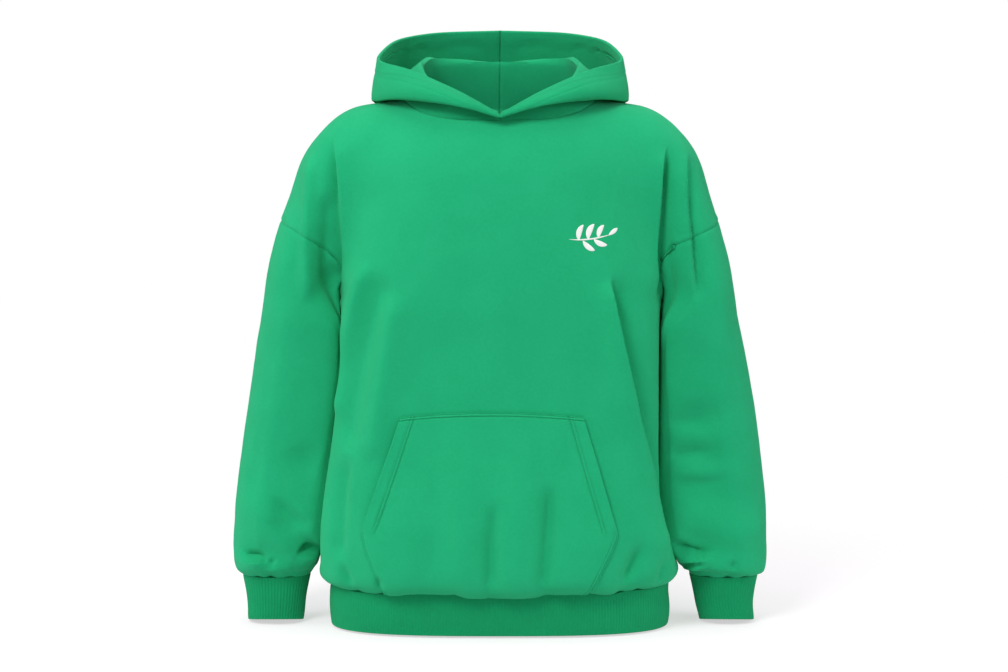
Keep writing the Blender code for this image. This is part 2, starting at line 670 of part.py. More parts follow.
def spaced(points, seam, side, room):
    """Points of a panel kept at least some way from the lower end of the armhole, along the cloth."""
    run = np.gradient(seam, axis=0)[:ARMPIT_ROWS]
    away = points[:, None] - seam[:ARMPIT_ROWS]
    nearest = np.linalg.norm(away, axis=-1).argmin(1)
    normal, _ = outward(points, "body")
    across = np.cross(normal, run[nearest])
    across /= np.linalg.norm(across, axis=1, keepdims=True)
    across *= np.where(across @ np.array([-side, 0, -0.7]) < 0, -1, 1)[:, None]
    gap = (away[np.arange(len(points)), nearest] * across).sum(1)
    return points + np.clip(room - gap, 0, room)[:, None] * across


def body_panel(face):
    """The front or back: its points on the form, before folds, in rows from the hem up."""
    angles = np.linspace(math.pi, 2 * math.pi, 200) if face == FRONT else np.linspace(math.pi, 0, 200)
    bottom = evenly(body_point(angles, np.full(200, HEM_SEAM)), BODY_CELLS)
    sides = [np.concatenate([side_seam(side), armhole(side, face)[1:]]) for side in (-1, 1)]
    shoulders = [shoulder_seam(side) for side in (-1, 1)]
    top = np.concatenate([shoulders[0][::-1], neck_seam(face)[1:-1], shoulders[1]])
    bottom[0], bottom[-1] = sides[0][0], sides[1][0]
    grid = patch(bottom, top, *sides)
    for _ in range(SPREAD_ROUNDS):
        grid[1:-1, 1:-1] = evened(grid)
    rows, columns = (np.sin(np.linspace(0, math.pi, count)) for count in grid.shape[:2])
    grid[..., 1] += face * PANEL_BULGE * rows[:, None] * columns
    grid[1:-1, 1:-1] = settle(grid[1:-1, 1:-1], "body", 8)
    for _ in range(SETTLE_ROUNDS):
        grid[1:-1, 1:-1] = settle(evened(grid), "body", 1)
        rows = slice(SIDE_CELLS, SIDE_CELLS + ARMPIT_ROWS)
        for side, first in ((-1, 1), (1, -2)):
            for step in range(3):
                column_points = grid[rows, first - side * step]
                column_points[:] = spaced(column_points, sides[(side + 1) // 2][SIDE_CELLS:], side,
                                          ARMPIT_SPACE * (step + 1))
    grid[1:-1, 1:-1] = settle(grid[1:-1, 1:-1], "body")
    return grid


def folded(grid, cloth):
    """Points of a sheet with its folds, and the outward direction at each."""
    normal, _ = outward(grid, cloth)
    return grid + fold_height(grid, cloth)[..., None] * normal, normal


def build_panel(name, face, hood_normals):
    """The front or back panel."""
    grid, normal = folded(body_panel(face), "body")
    edge = slice(SHOULDER_CELLS, SHOULDER_CELLS + NECK_CELLS + 1)
    carry = normal.copy()
    carry[-1, edge] = mitre(normal[-1, edge], hood_normals)
    whole, grid = grid, inset(grid, ("bottom", "top"))
    below, above = slice(0, SIDE_CELLS + 1), slice(SIDE_CELLS, None)
    for side, first, second in ((-1, 0, 1), (1, -1, -2)):
        _, shift, carry[above, first], _ = armhole_edges(side, face)
        grid[below, first] += seam_shift(whole[below, first], whole[below, second])
        grid[above, first] += shift
    if face == BACK:
        grid, carry = grid[:, ::-1], carry[:, ::-1]
    return shell(name, grid, grid - FLEECE * carry, JERSEY)


def beside_body(grid):
    """A sleeve's points pressed flat where the sleeve hangs against the body."""
    for _ in range(3):
        step = 2e-4
        slopes = [body_gap(grid + step * e) - body_gap(grid - step * e) for e in np.eye(3)]
        slope = np.stack(slopes, axis=-1) / (2 * step)
        slope /= np.maximum(np.linalg.norm(slope, axis=-1, keepdims=True), 1e-9)
        short = np.maximum(SLEEVE_HANG - body_gap(grid), 0) * (grid[..., 2] < ARMPIT[2] - 0.02)
        grid = grid + short[..., None] * slope
    return grid


def sleeve_sheet(side):
    """A sleeve's points on its form, in rows from the cuff seam up, counted round against the clock."""
    ring = around(side, armhole(side, FRONT), armhole(side, BACK))
    at, sizes, out = arm_place(ring, side)
    start = 0.0 if side < 0 else math.pi
    turn = np.arctan2((ring[:, 1] - sizes[:, 4]) / sizes[:, 3], side * out / sizes[:, 2])
    turn = start + np.unwrap((turn - start + math.pi) % (2 * math.pi) - math.pi)
    even = start + np.linspace(0, 2 * math.pi, len(ring), endpoint=False)
    t = np.linspace(0, 1, SLEEVE_CELLS + 1)[:, None]
    place, angle = CUFF_SEAM + (at - CUFF_SEAM) * t**SLEEVE_CROWD, even + (turn - even) * t**TURN_FADE
    sheet = arm_point(place, angle, side)
    sheet[1:-1] = settle(sheet[1:-1], "sleeve")
    sheet[-1] = ring
    return sheet


def around(side, front, back):
    """Values along the armhole's front and back joined into one ring, from the sleeve's first column on."""
    first, second = (back, front) if side < 0 else (front, back)
    return np.concatenate([first, second[::-1][1:-1]])


def build_sleeve(name, side):
    """A sleeve, one piece closed by its seam under the arm."""
    sheet = sleeve_sheet(side)
    grid, normal = folded(sheet, "sleeve")
    grid = beside_body(grid)
    seam, shift, _, wall = (around(side, *pair) for pair in zip(armhole_edges(side, FRONT),
                                                                armhole_edges(side, BACK)))
    grid[0], normal[0] = sheet[0], ring_normal(sheet[0], CUFF_LEAN)
    grid = inset(grid, ("bottom",), closed=True)
    hang = below_armpit(seam, ROOM_STARTS)
    grid[-1] = seam - shift
    grid[-1, :, 0] += side * ARMPIT_ROOM * hang
    normal[-1] = wall
    return shell(name, grid, grid - FLEECE * normal, JERSEY, closed=True)


def build_cuff(name, side):
    """A cuff, from its open end up to the seam with the sleeve."""
    start = 0.0 if side < 0 else math.pi
    even = start + np.linspace(0, 2 * math.pi, 2 * ARMHOLE_CELLS, endpoint=False)
    at = np.linspace(CUFF_END, CUFF_SEAM, BAND_CELLS + 1)[:, None]
    grid = arm_point(at + 0 * even, even + 0 * at, side)
    normal, _ = outward(grid, "sleeve")
    normal[0], normal[-1] = ring_normal(grid[0], 0), ring_normal(grid[-1], CUFF_LEAN)
    grid = inset(grid, ("top",), closed=True)
    return shell(name, grid, grid - RIB * normal, RIBBING, closed=True)


def build_hem_band(name):
    """The ribbed band round the hem."""
    front = body_point(np.linspace(math.pi, 2 * math.pi, 200), np.full(200, HEM_SEAM))
    back = body_point(np.linspace(0, math.pi, 200), np.full(200, HEM_SEAM))
    seam = np.concatenate([evenly(front, BODY_CELLS)[:-1], evenly(back, BODY_CELLS)[:-1]])
    rows = []
    for z in np.linspace(HEM, HEM_SEAM, BAND_CELLS + 1):
        half, deep, _ = body_size(seam[:, 0], seam[:, 1], np.full(len(seam), z))
        seam_half, seam_deep, _ = body_size(seam[:, 0], seam[:, 1], seam[:, 2])
        x, y = seam[:, 0] * half / seam_half, seam[:, 1] * deep / seam_deep
        rows.append(np.stack([x, y, z + 0 * x], axis=1))
    grid = np.array(rows)
    normal, _ = outward(grid, "body")
    normal[0, :, 2] = 0
    normal[0] /= np.linalg.norm(normal[0], axis=-1, keepdims=True)
    grid = inset(grid, ("top",), closed=True)
    return shell(name, grid, grid - RIB * normal, RIBBING, closed=True)


def front_point(x, z):
    """The front of the body's form at a place seen from the front."""
    low, high = np.full(x.shape, -0.20), np.full(x.shape, -0.02)
    for _ in range(30):
        middle = (low + high) / 2
        inside = body_gap(np.stack([x, middle, z], axis=-1)) < 0
        low, high = np.where(inside, low, middle), np.where(inside, middle, high)
    return np.stack([x, middle, z], axis=-1)


def build_pocket(name):
    """The pouch pocket, made from the front's own points moved out."""
    heights, lefts, rights = [], [], []
    for low, high in zip(POCKET[:-1], POCKET[1:]):
        share = np.arange(low.cells) / low.cells
        heights += list(low.height + (high.height - low.height) * share)
        lefts += list(low.left + (high.left - low.left) * share)
        rights += list(low.right + (high.right - low.right) * share)
    heights, lefts, rights = (np.array(part + [last]) for part, last in
                              zip((heights, lefts, rights), POCKET[-1][:3]))
    s = np.linspace(0, 1, POCKET_COLUMNS + 1)
    x = lefts[:, None] + (rights - lefts)[:, None] * s
    base = front_point(x, heights[:, None] + 0 * x)
    normal, _ = outward(base, "body")
    t = np.linspace(0, 1, len(heights))[:, None]
    puff = POCKET_PUFF * np.sin(math.pi * t) * (0.35 + 0.65 * np.sin(math.pi * s))
    inner = base + (fold_height(base, "body") + POCKET_LIFT + puff)[..., None] * normal
    return shell(name, inner + POCKET_CLOTH * normal, inner, JERSEY)


def hood_sheet():
    """The hood's left half, in rows from the neck seam up, counted from the front round to the back."""
    front, back = neck_seam(FRONT), neck_seam(BACK)
    half = NECK_CELLS // 2
    seam = np.concatenate([front[: half + 1][::-1], back[1 : half + 1]])
    seam[0, 0] = seam[-1, 0] = 0
    along = np.linspace(0, 1, len(seam))
    stations = column(HOOD, "along")
    lines = [seam]
    for name in ("ridge", "lining", "bag", "under", "outer", "rim"):
        places = np.array([getattr(rib, name) for rib in HOOD])
        lines.append(np.stack([track(stations, places[:, i], along) for i in range(3)], axis=1))
    keys = np.array(lines)
    at = np.interp(np.linspace(0, 1, HOOD_CELLS + 1), HOOD_SPREAD, np.arange(len(lines)))
    sheet = spline(keys, at)
    clear = HOOD_CLEAR * np.clip(np.arange(HOOD_CELLS + 1) / 3, 0, 1)[:, None]
    for _ in range(4):
        normal, size = outward(sheet, "body")
        short = np.maximum(clear - form_gap(sheet, "body") / np.maximum(size, 0.25), 0)
        sheet = sheet + short[..., None] * normal
    sheet[0] = seam
    sheet[:, 0, 0] = sheet[:, -1, 0] = 0
    return sheet


def sheet_normals(sheet):
    """Directions square to a sheet's rows and columns."""
    normal = np.cross(np.gradient(sheet, axis=1), np.gradient(sheet, axis=0))
    return normal / np.linalg.norm(normal, axis=-1, keepdims=True)


def hood_parts():
    """The left half of the hood as points and outward directions, and those along the whole neck seam."""
    sheet = hood_sheet()
    normal = -sheet_normals(sheet)
    normal[:, 0, 0] = normal[:, -1, 0] = 0
    normal[:, 0] /= np.linalg.norm(normal[:, 0], axis=-1, keepdims=True)
    normal[:, -1] /= np.linalg.norm(normal[:, -1], axis=-1, keepdims=True)
    return sheet, normal


def build_hood_half(name, side, sheet, normal, panel_normals):
    """One half of the hood, from the neck seam to its opening."""
    carry = normal.copy()
    carry[0] = mitre(normal[0], panel_normals)
    wall = np.full(sheet.shape[:2], HOOD_CLOTH)
    wall[-1 - HOOD_HEM_ROWS:] += HOOD_HEM
    inner_carry = carry * wall[..., None]
    grid = inset(sheet, ("bottom",))
    for first, second in ((0, 1), (-1, -2)):
        grid[:, first] += seam_shift(sheet[:, first], sheet[:, second])
    inner = grid - inner_carry
    inner[:, 0, 0] = grid[:, 0, 0]
    inner[:, -1, 0] = grid[:, -1, 0]
    if side > 0:
        return shell(name, mirrored(grid), mirrored(inner), JERSEY)
    return shell(name, grid[:, ::-1], inner[:, ::-1], JERSEY)


def clear_scene():
    """Remove what the file opened with."""
    for found in list(bpy.data.objects):
        bpy.data.objects.remove(found, do_unlink=True)


def main():
    """Build every piece of the hoodie."""
    clear_scene()
    half = NECK_CELLS // 2
    sheet, normal = hood_parts()
    neck = {
        FRONT: np.concatenate([normal[0, : half + 1][::-1], mirrored(normal[0, 1 : half + 1])]),
        BACK: np.concatenate([normal[0, half:], mirrored(normal[0, half:-1][::-1])]),
    }
    seam_normals = {face: outward(neck_seam(face), "body")[0] for face in (FRONT, BACK)}
    under_hood = np.concatenate([seam_normals[FRONT][: half + 1][::-1], seam_normals[BACK][1 : half + 1]])

    build_panel("front", FRONT, neck[FRONT])
    build_panel("back", BACK, neck[BACK])
    for side, word in ((-1, "left"), (1, "right")):
        build_sleeve("sleeve_" + word, side)
        build_cuff("cuff_" + word, side)
        build_hood_half("hood_" + word, side, sheet, normal, under_hood)
    build_hem_band("hem_band")
    build_pocket("pocket")


main()
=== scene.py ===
"""Dresses the pullover hoodie in its knitted cloth.

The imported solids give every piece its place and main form. This script repeats that form on a much
finer grid and adds what the solids leave out: finer folds, gathers at the seams, the ribs of cuffs
and hem band, turned hems, topstitching, a small printed sprig, the cloth's own finish, and a plain
studio. Units are metres, in the frame of the solids; only what table() and metres() are given is in
millimetres.
"""

from __future__ import annotations

import json
import logging
import math
from collections.abc import Callable
from dataclasses import dataclass
from enum import Enum, IntEnum
from functools import cache
from itertools import product
from typing import NamedTuple

import bpy
import numpy as np
from mathutils import Vector
from mathutils.bvhtree import BVHTree
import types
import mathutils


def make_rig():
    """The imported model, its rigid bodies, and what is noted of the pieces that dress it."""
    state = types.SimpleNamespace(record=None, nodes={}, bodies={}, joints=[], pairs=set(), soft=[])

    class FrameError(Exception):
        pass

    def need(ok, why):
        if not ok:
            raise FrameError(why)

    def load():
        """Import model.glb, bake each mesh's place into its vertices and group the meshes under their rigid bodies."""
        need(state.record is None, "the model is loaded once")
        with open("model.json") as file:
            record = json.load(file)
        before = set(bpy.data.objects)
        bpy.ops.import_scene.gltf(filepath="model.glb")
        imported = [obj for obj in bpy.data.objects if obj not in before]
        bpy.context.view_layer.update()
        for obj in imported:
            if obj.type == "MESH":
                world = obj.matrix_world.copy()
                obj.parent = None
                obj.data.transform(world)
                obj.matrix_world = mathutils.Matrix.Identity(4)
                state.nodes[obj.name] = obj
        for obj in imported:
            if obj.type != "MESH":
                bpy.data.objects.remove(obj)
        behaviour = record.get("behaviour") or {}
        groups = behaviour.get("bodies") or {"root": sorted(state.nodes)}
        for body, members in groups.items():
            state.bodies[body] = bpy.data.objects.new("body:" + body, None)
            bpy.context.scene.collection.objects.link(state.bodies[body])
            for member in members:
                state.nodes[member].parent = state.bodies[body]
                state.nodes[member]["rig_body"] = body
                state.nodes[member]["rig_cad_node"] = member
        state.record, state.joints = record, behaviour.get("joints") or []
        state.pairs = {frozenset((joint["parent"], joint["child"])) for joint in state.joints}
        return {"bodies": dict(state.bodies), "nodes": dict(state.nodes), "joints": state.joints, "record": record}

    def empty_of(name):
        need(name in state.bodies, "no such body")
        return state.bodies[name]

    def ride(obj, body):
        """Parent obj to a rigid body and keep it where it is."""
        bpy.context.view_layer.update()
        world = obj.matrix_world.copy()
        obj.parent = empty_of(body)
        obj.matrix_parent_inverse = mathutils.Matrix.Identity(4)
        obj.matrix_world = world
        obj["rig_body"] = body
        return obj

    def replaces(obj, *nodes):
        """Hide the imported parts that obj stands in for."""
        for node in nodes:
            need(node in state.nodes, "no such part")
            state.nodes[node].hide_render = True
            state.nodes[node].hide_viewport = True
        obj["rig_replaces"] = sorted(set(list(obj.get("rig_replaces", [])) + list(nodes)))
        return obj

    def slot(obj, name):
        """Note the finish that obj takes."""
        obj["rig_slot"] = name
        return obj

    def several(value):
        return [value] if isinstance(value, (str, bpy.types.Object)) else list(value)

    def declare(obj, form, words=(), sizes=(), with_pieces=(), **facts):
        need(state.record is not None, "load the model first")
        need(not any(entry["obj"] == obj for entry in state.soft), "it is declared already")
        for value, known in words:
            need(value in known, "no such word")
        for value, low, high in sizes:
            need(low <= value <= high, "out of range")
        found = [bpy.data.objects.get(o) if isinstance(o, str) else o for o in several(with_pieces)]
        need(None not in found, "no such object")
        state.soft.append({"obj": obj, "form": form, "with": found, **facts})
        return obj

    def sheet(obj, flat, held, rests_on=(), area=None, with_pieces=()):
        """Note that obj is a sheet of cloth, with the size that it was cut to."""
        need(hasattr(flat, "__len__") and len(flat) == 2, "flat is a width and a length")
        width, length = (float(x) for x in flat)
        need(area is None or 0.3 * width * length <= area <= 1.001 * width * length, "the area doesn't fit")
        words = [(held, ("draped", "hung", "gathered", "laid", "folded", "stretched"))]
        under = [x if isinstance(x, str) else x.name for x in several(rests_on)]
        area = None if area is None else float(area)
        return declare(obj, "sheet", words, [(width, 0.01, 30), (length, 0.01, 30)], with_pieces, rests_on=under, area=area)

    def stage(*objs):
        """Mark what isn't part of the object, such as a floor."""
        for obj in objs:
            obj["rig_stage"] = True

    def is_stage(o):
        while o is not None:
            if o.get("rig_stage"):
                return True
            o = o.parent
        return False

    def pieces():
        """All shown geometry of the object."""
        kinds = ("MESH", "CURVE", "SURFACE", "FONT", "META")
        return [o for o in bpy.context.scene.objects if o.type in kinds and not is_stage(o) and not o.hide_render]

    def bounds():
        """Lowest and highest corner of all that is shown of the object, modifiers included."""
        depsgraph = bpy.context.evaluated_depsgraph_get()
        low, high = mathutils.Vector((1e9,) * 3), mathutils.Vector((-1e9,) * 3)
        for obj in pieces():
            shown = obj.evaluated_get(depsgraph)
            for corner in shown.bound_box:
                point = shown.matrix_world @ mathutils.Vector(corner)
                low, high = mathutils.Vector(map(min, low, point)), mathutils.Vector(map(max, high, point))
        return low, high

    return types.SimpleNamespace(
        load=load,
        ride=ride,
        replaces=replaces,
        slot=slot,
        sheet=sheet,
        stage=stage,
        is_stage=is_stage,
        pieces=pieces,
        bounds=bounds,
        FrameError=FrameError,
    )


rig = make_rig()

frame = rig.load()
cad_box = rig.bounds()

log = logging.getLogger("hoodie")
Points = np.ndarray
Piece = bpy.types.Object
Socket = bpy.types.NodeSocket
Material = bpy.types.Material
Pair = tuple[float, float]
Triple = tuple[float, float, float]

# ---- choices


class Side(IntEnum):
    """A side of the hoodie: LEFT is -X, the wearer's right arm."""

    LEFT = -1
    RIGHT = 1

    @property
    def word(self) -> str:
        """The side's name, as its pieces have it."""
        return self.name.lower()

    @property
    def outer(self) -> float:
        """The angle that points away from the body on this side, from +X against the clock."""
        return math.pi if self is Side.LEFT else 0.0

    @property
    def inner(self) -> float:
        """The angle that points from a sleeve to the body."""
        return math.pi - self.outer


class Face(IntEnum):
    """The front or the back of the hoodie."""

    FRONT = -1
    BACK = 1


class Cloth(Enum):
    """Which cloth a form or a fold belongs to."""

    BODY = "body"
    SLEEVE = "sleeve"
    BOTH = "both"


class Edge(Enum):
    """An edge of a sheet of cloth: its bottom or top row, or its first or last column."""

    BOTTOM = "bottom"
    TOP = "top"
    FIRST = "first"
    LAST = "last"


# ---- sizes of the form

SHARES = ("square", "along", "drift")  # columns of the tables that aren't sizes


def metres(value: object) -> object:
    """Millimetres as metres, in a number or in nested rows of them."""
    return tuple(metres(part) for part in value) if isinstance(value, tuple) else value / 1000


def table(kind: type, shared: tuple, *rows: tuple) -> tuple:
    """Rows of sizes as entries of one kind.

    Args:
        kind: what each entry is.
        shared: the first values, which are the same in every entry.
        rows: the other values of each entry, in millimetres apart from the columns named in SHARES.

    Returns:
        The entries, in metres.
    """
    names = kind._fields[len(shared) :]
    return tuple(
        kind(*shared, *(value if name in SHARES else metres(value) for name, value in zip(names, row)))
        for row in rows
    )


class Ring(NamedTuple):
    """A level section of the body, with half widths to the left and right and depths from the side seam."""

    height: float
    left: float
    right: float
    front: float
    back: float
    square: float


BODY = table(
    Ring, (),
    (55, 60, 60, 15, 40, 2.2),
    (12, 98, 98, 62, 86, 2.2),
    (-25, 130, 130, 94, 104, 2.2),
    (-55, 158, 158, 114, 113, 2.3),
    (-95, 184, 184, 127, 120, 2.5),
    (-160, 200, 202, 136, 126, 2.7),
    (-250, 200, 204, 140, 130, 3.6),
    (-310, 198.5, 203.5, 139, 131, 4.2),
    (-385, 209, 204, 139, 133, 4.4),
    (-462, 219, 205, 142, 136, 4.4),
    (-500, 225, 206, 144, 138, 4.2),
    (-540, 229.5, 214, 146, 140, 3.8),
    (-570, 232, 225, 146, 140, 3.2),
    (-590, 231.5, 228.5, 142, 136, 3),
    (-604, 229, 226.5, 132, 127, 2.9),
    (-612.5, 217.5, 216.5, 114, 110, 3),
    (-640, 218.5, 217.5, 110, 106, 3.1),
    (-664.5, 217, 216, 105, 101, 3.1),
)
HEM_SEAM, HEM = -0.6125, -0.6645


class Arm(NamedTuple):
    """A section across a sleeve: where its middle lies, its half width and its half depth."""

    x_left: float
    x_right: float
    height: float
    wide_left: float
    wide_right: float
    deep: float
    middle: float


ARM = table(
    Arm, (),
    (0, 0, -86, 70, 70, 80, 4),
    (60, 60, -82, 70, 70, 80, 4),
    (115, 115, -75, 70, 70, 80, 4),
    (161, 161, -69, 66.8, 67.2, 82, 6),
    (199, 199, -90, 55.3, 56.6, 88, 8),
    (223.5, 223.5, -140, 48.2, 48.7, 94, 10),
    (242.5, 241, -196, 48.8, 47.8, 98, 12),
    (251, 252.5, -255, 51, 48.5, 98, 12),
    (253.8, 256.3, -310, 57.3, 55.3, 92, 12),
    (263, 263.2, -385, 60, 62.2, 85, 12),
    (273.3, 269, -462, 61.3, 68, 78, 12),
    (278.3, 271.2, -500, 60.8, 70.2, 75, 12),
    (283.3, 277.1, -540, 59.3, 68.1, 72, 10),
    (288.2, 285, -570, 55.6, 60.8, 67, 8),
    (288.8, 289, -592, 52.8, 54, 57, 4),
    (288.5, 288.5, -604.5, 44, 44.5, 39, 2),
    (289, 289, -640, 37, 37, 33, 0),
    (290, 293, -665.5, 35.5, 35.5, 31, 0),
)
CUFF_SEAM, CUFF_END = 15.0, 17.0  # rows of ARM


class Bridge(NamedTuple):
    """How far the cloth bridges the corner between body and sleeve, at a height."""

    height: float
    reach: float


BRIDGE = table(
    Bridge, (),
    (50, 60),
    (-50, 60),
    (-140, 55),
    (-200, 45),
    (-235, 26),
    (-255, 6),
    (-285, 0.1),
    (-660, 0.1),
)
ARMPIT = -0.250  # the armpits' height
SHOULDER_END = (-0.284, 0.010, -0.146)


class HoodRib(NamedTuple):
    """One line up the left half of the hood: where it turns over inside, hangs lowest, and ends."""

    along: float
    ridge: Triple
    lining: Triple
    bag: Triple
    under: Triple
    outer: Triple
    rim: Triple


HOOD = table(
    HoodRib, (),
    (0, (0, -99, -19.5), (0, -104, -19.5), (0, -110, -23.5),
     (0, -114, -24.5), (0, -116, -22), (0, -113.5, -17.5)),
    (0.14, (-42, -94, -6), (-45, -100, -5), (-47, -106, -9),
     (-48, -112, -10), (-49, -111, -1), (-47, -99, 9)),
    (0.3, (-83, -62, 16), (-96, -66, 10), (-108, -70, 1),
     (-116, -76, 1), (-117, -76, 15), (-105, -64, 36)),
    (0.5, (-99, -6, 44), (-122, -2, 30), (-147, 0, 8),
     (-161, 0, -2), (-162.5, 0, 16), (-156, 2, 56)),
    (0.7, (-88, 48, 56), (-114, 70, 20), (-133, 84, -30),
     (-148, 94, -26), (-152, 94, 24), (-137, 78, 83)),
    (0.85, (-52, 78, 56), (-69, 118, -20), (-77, 130, -96),
     (-89, 152, -98), (-93, 158, -10), (-80, 132, 97)),
    (1, (0, 90, 53), (0, 127, -50), (0, 140, -140),
     (0, 176, -146), (0, 192, -40), (0, 154, 101)),
)


class PocketRow(NamedTuple):
    """The pocket's left and right edge at a height."""

    height: float
    left: float
    right: float


POCKET = table(
    PocketRow, (),
    (-610.2, -143, 108.5),
    (-600, -148, 114),
    (-550, -166.5, 137.5),
    (-532, -170, 144),
    (-386.5, -121.5, 102),
)
POCKET_MOUTH = -0.5320  # the lower end of both slanted openings

# ---- folds


class Fold(NamedTuple):
    """A soft ridge (height over 0) or trough along a bent line, seen from the front, as (x, z)."""

    cloth: Cloth
    face: Face
    start: Pair
    bend: Pair
    end: Pair
    width: float
    height: float


MAIN_FOLDS = (
    *table(
        Fold, (Cloth.BODY, Face.FRONT),
        ((-148, -165), (-168, -240), (-186, -320), 22, 5),
        ((-160, -235), (-178, -320), (-200, -430), 22, -3),
        ((-118, -205), (-142, -353), (-156, -470), 26, 6),
        ((124, -185), (152, -310), (180, -450), 24, 9),
        ((155, -225), (184, -360), (200, -520), 22, -8),
        ((58, -440), (56, -530), (52, -606), 22, -6),
        ((-18, -520), (-14, -570), (-14, -610), 20, -5.5),
        ((-82, -510), (-80, -560), (-83, -608), 22, -5),
        ((168, -530), (160, -575), (156, -608), 22, -5.5),
        ((-192, -470), (-186, -540), (-178, -606), 20, -5.5),
        ((-48, -450), (-48, -530), (-50, -600), 24, 4.5),
        ((22, -460), (20, -535), (18, -600), 24, 4.5),
    ),
    *table(
        Fold, (Cloth.BOTH, Face.FRONT),
        ((-206, -45), (-199, -130), (-206, -225), 24, -8),
        ((206, -45), (199, -125), (205, -220), 24, -8),
        ((-246, -70), (-250, -160), (-256, -270), 22, -6),
        ((244, -70), (247, -155), (254, -265), 22, -6),
    ),
    *table(
        Fold, (Cloth.BOTH, Face.BACK),
        ((-204, -60), (-198, -140), (-205, -225), 24, -11),
        ((204, -60), (200, -145), (205, -225), 24, -12),
    ),
    *table(
        Fold, (Cloth.BODY, Face.BACK),
        ((-140, -190), (-168, -290), (-194, -400), 24, -10),
        ((-112, -170), (-134, -300), (-152, -430), 26, 7.5),
        ((150, -200), (176, -310), (192, -430), 24, -10.5),
        ((110, -180), (136, -320), (150, -450), 26, 7.5),
        ((-90, -470), (-88, -540), (-92, -606), 22, -6.5),
        ((12, -490), (10, -550), (12, -608), 22, -6),
        ((104, -460), (100, -530), (98, -606), 22, -6.5),
    ),
    *table(
        Fold, (Cloth.SLEEVE, Face.FRONT),
        ((-338, -566), (-303, -560), (-266, -586), 15, -7),
        ((-262, -572), (-248, -562), (-236, -546), 16, -8.5),
        ((-262, -432), (-244, -458), (-228, -462), 20, -6.5),
        ((-330, -490), (-300, -522), (-260, -530), 24, 6),
        ((216, -388), (246, -402), (278, -390), 18, -6.5),
        ((214, -434), (244, -450), (280, -440), 18, -6.5),
        ((214, -480), (250, -498), (292, -490), 18, -6),
        ((228, -540), (258, -560), (292, -572), 16, -8.5),
        ((286, -540), (312, -548), (336, -538), 18, 5),
    ),
    *table(
        Fold, (Cloth.SLEEVE, Face.BACK),
        ((-330, -552), (-298, -568), (-262, -560), 16, -7.5),
        ((-310, -420), (-282, -440), (-246, -432), 20, -6.5),
        ((240, -550), (282, -568), (322, -556), 16, -7.5),
        ((234, -410), (268, -430), (304, -420), 20, -6.5),
    ),
)


class Crease(NamedTuple):
    """A long crease or a lap of cloth along a line from above, seen from the front, as (x, z).

    Each side has its height beside the line, over 0 outward, and how far that reaches. Heights that
    differ make a step, where one side laps over the other.
    """

    cloth: Cloth
    face: Face
    left: Pair
    right: Pair
    sharp: float
    line: tuple[Pair, ...]


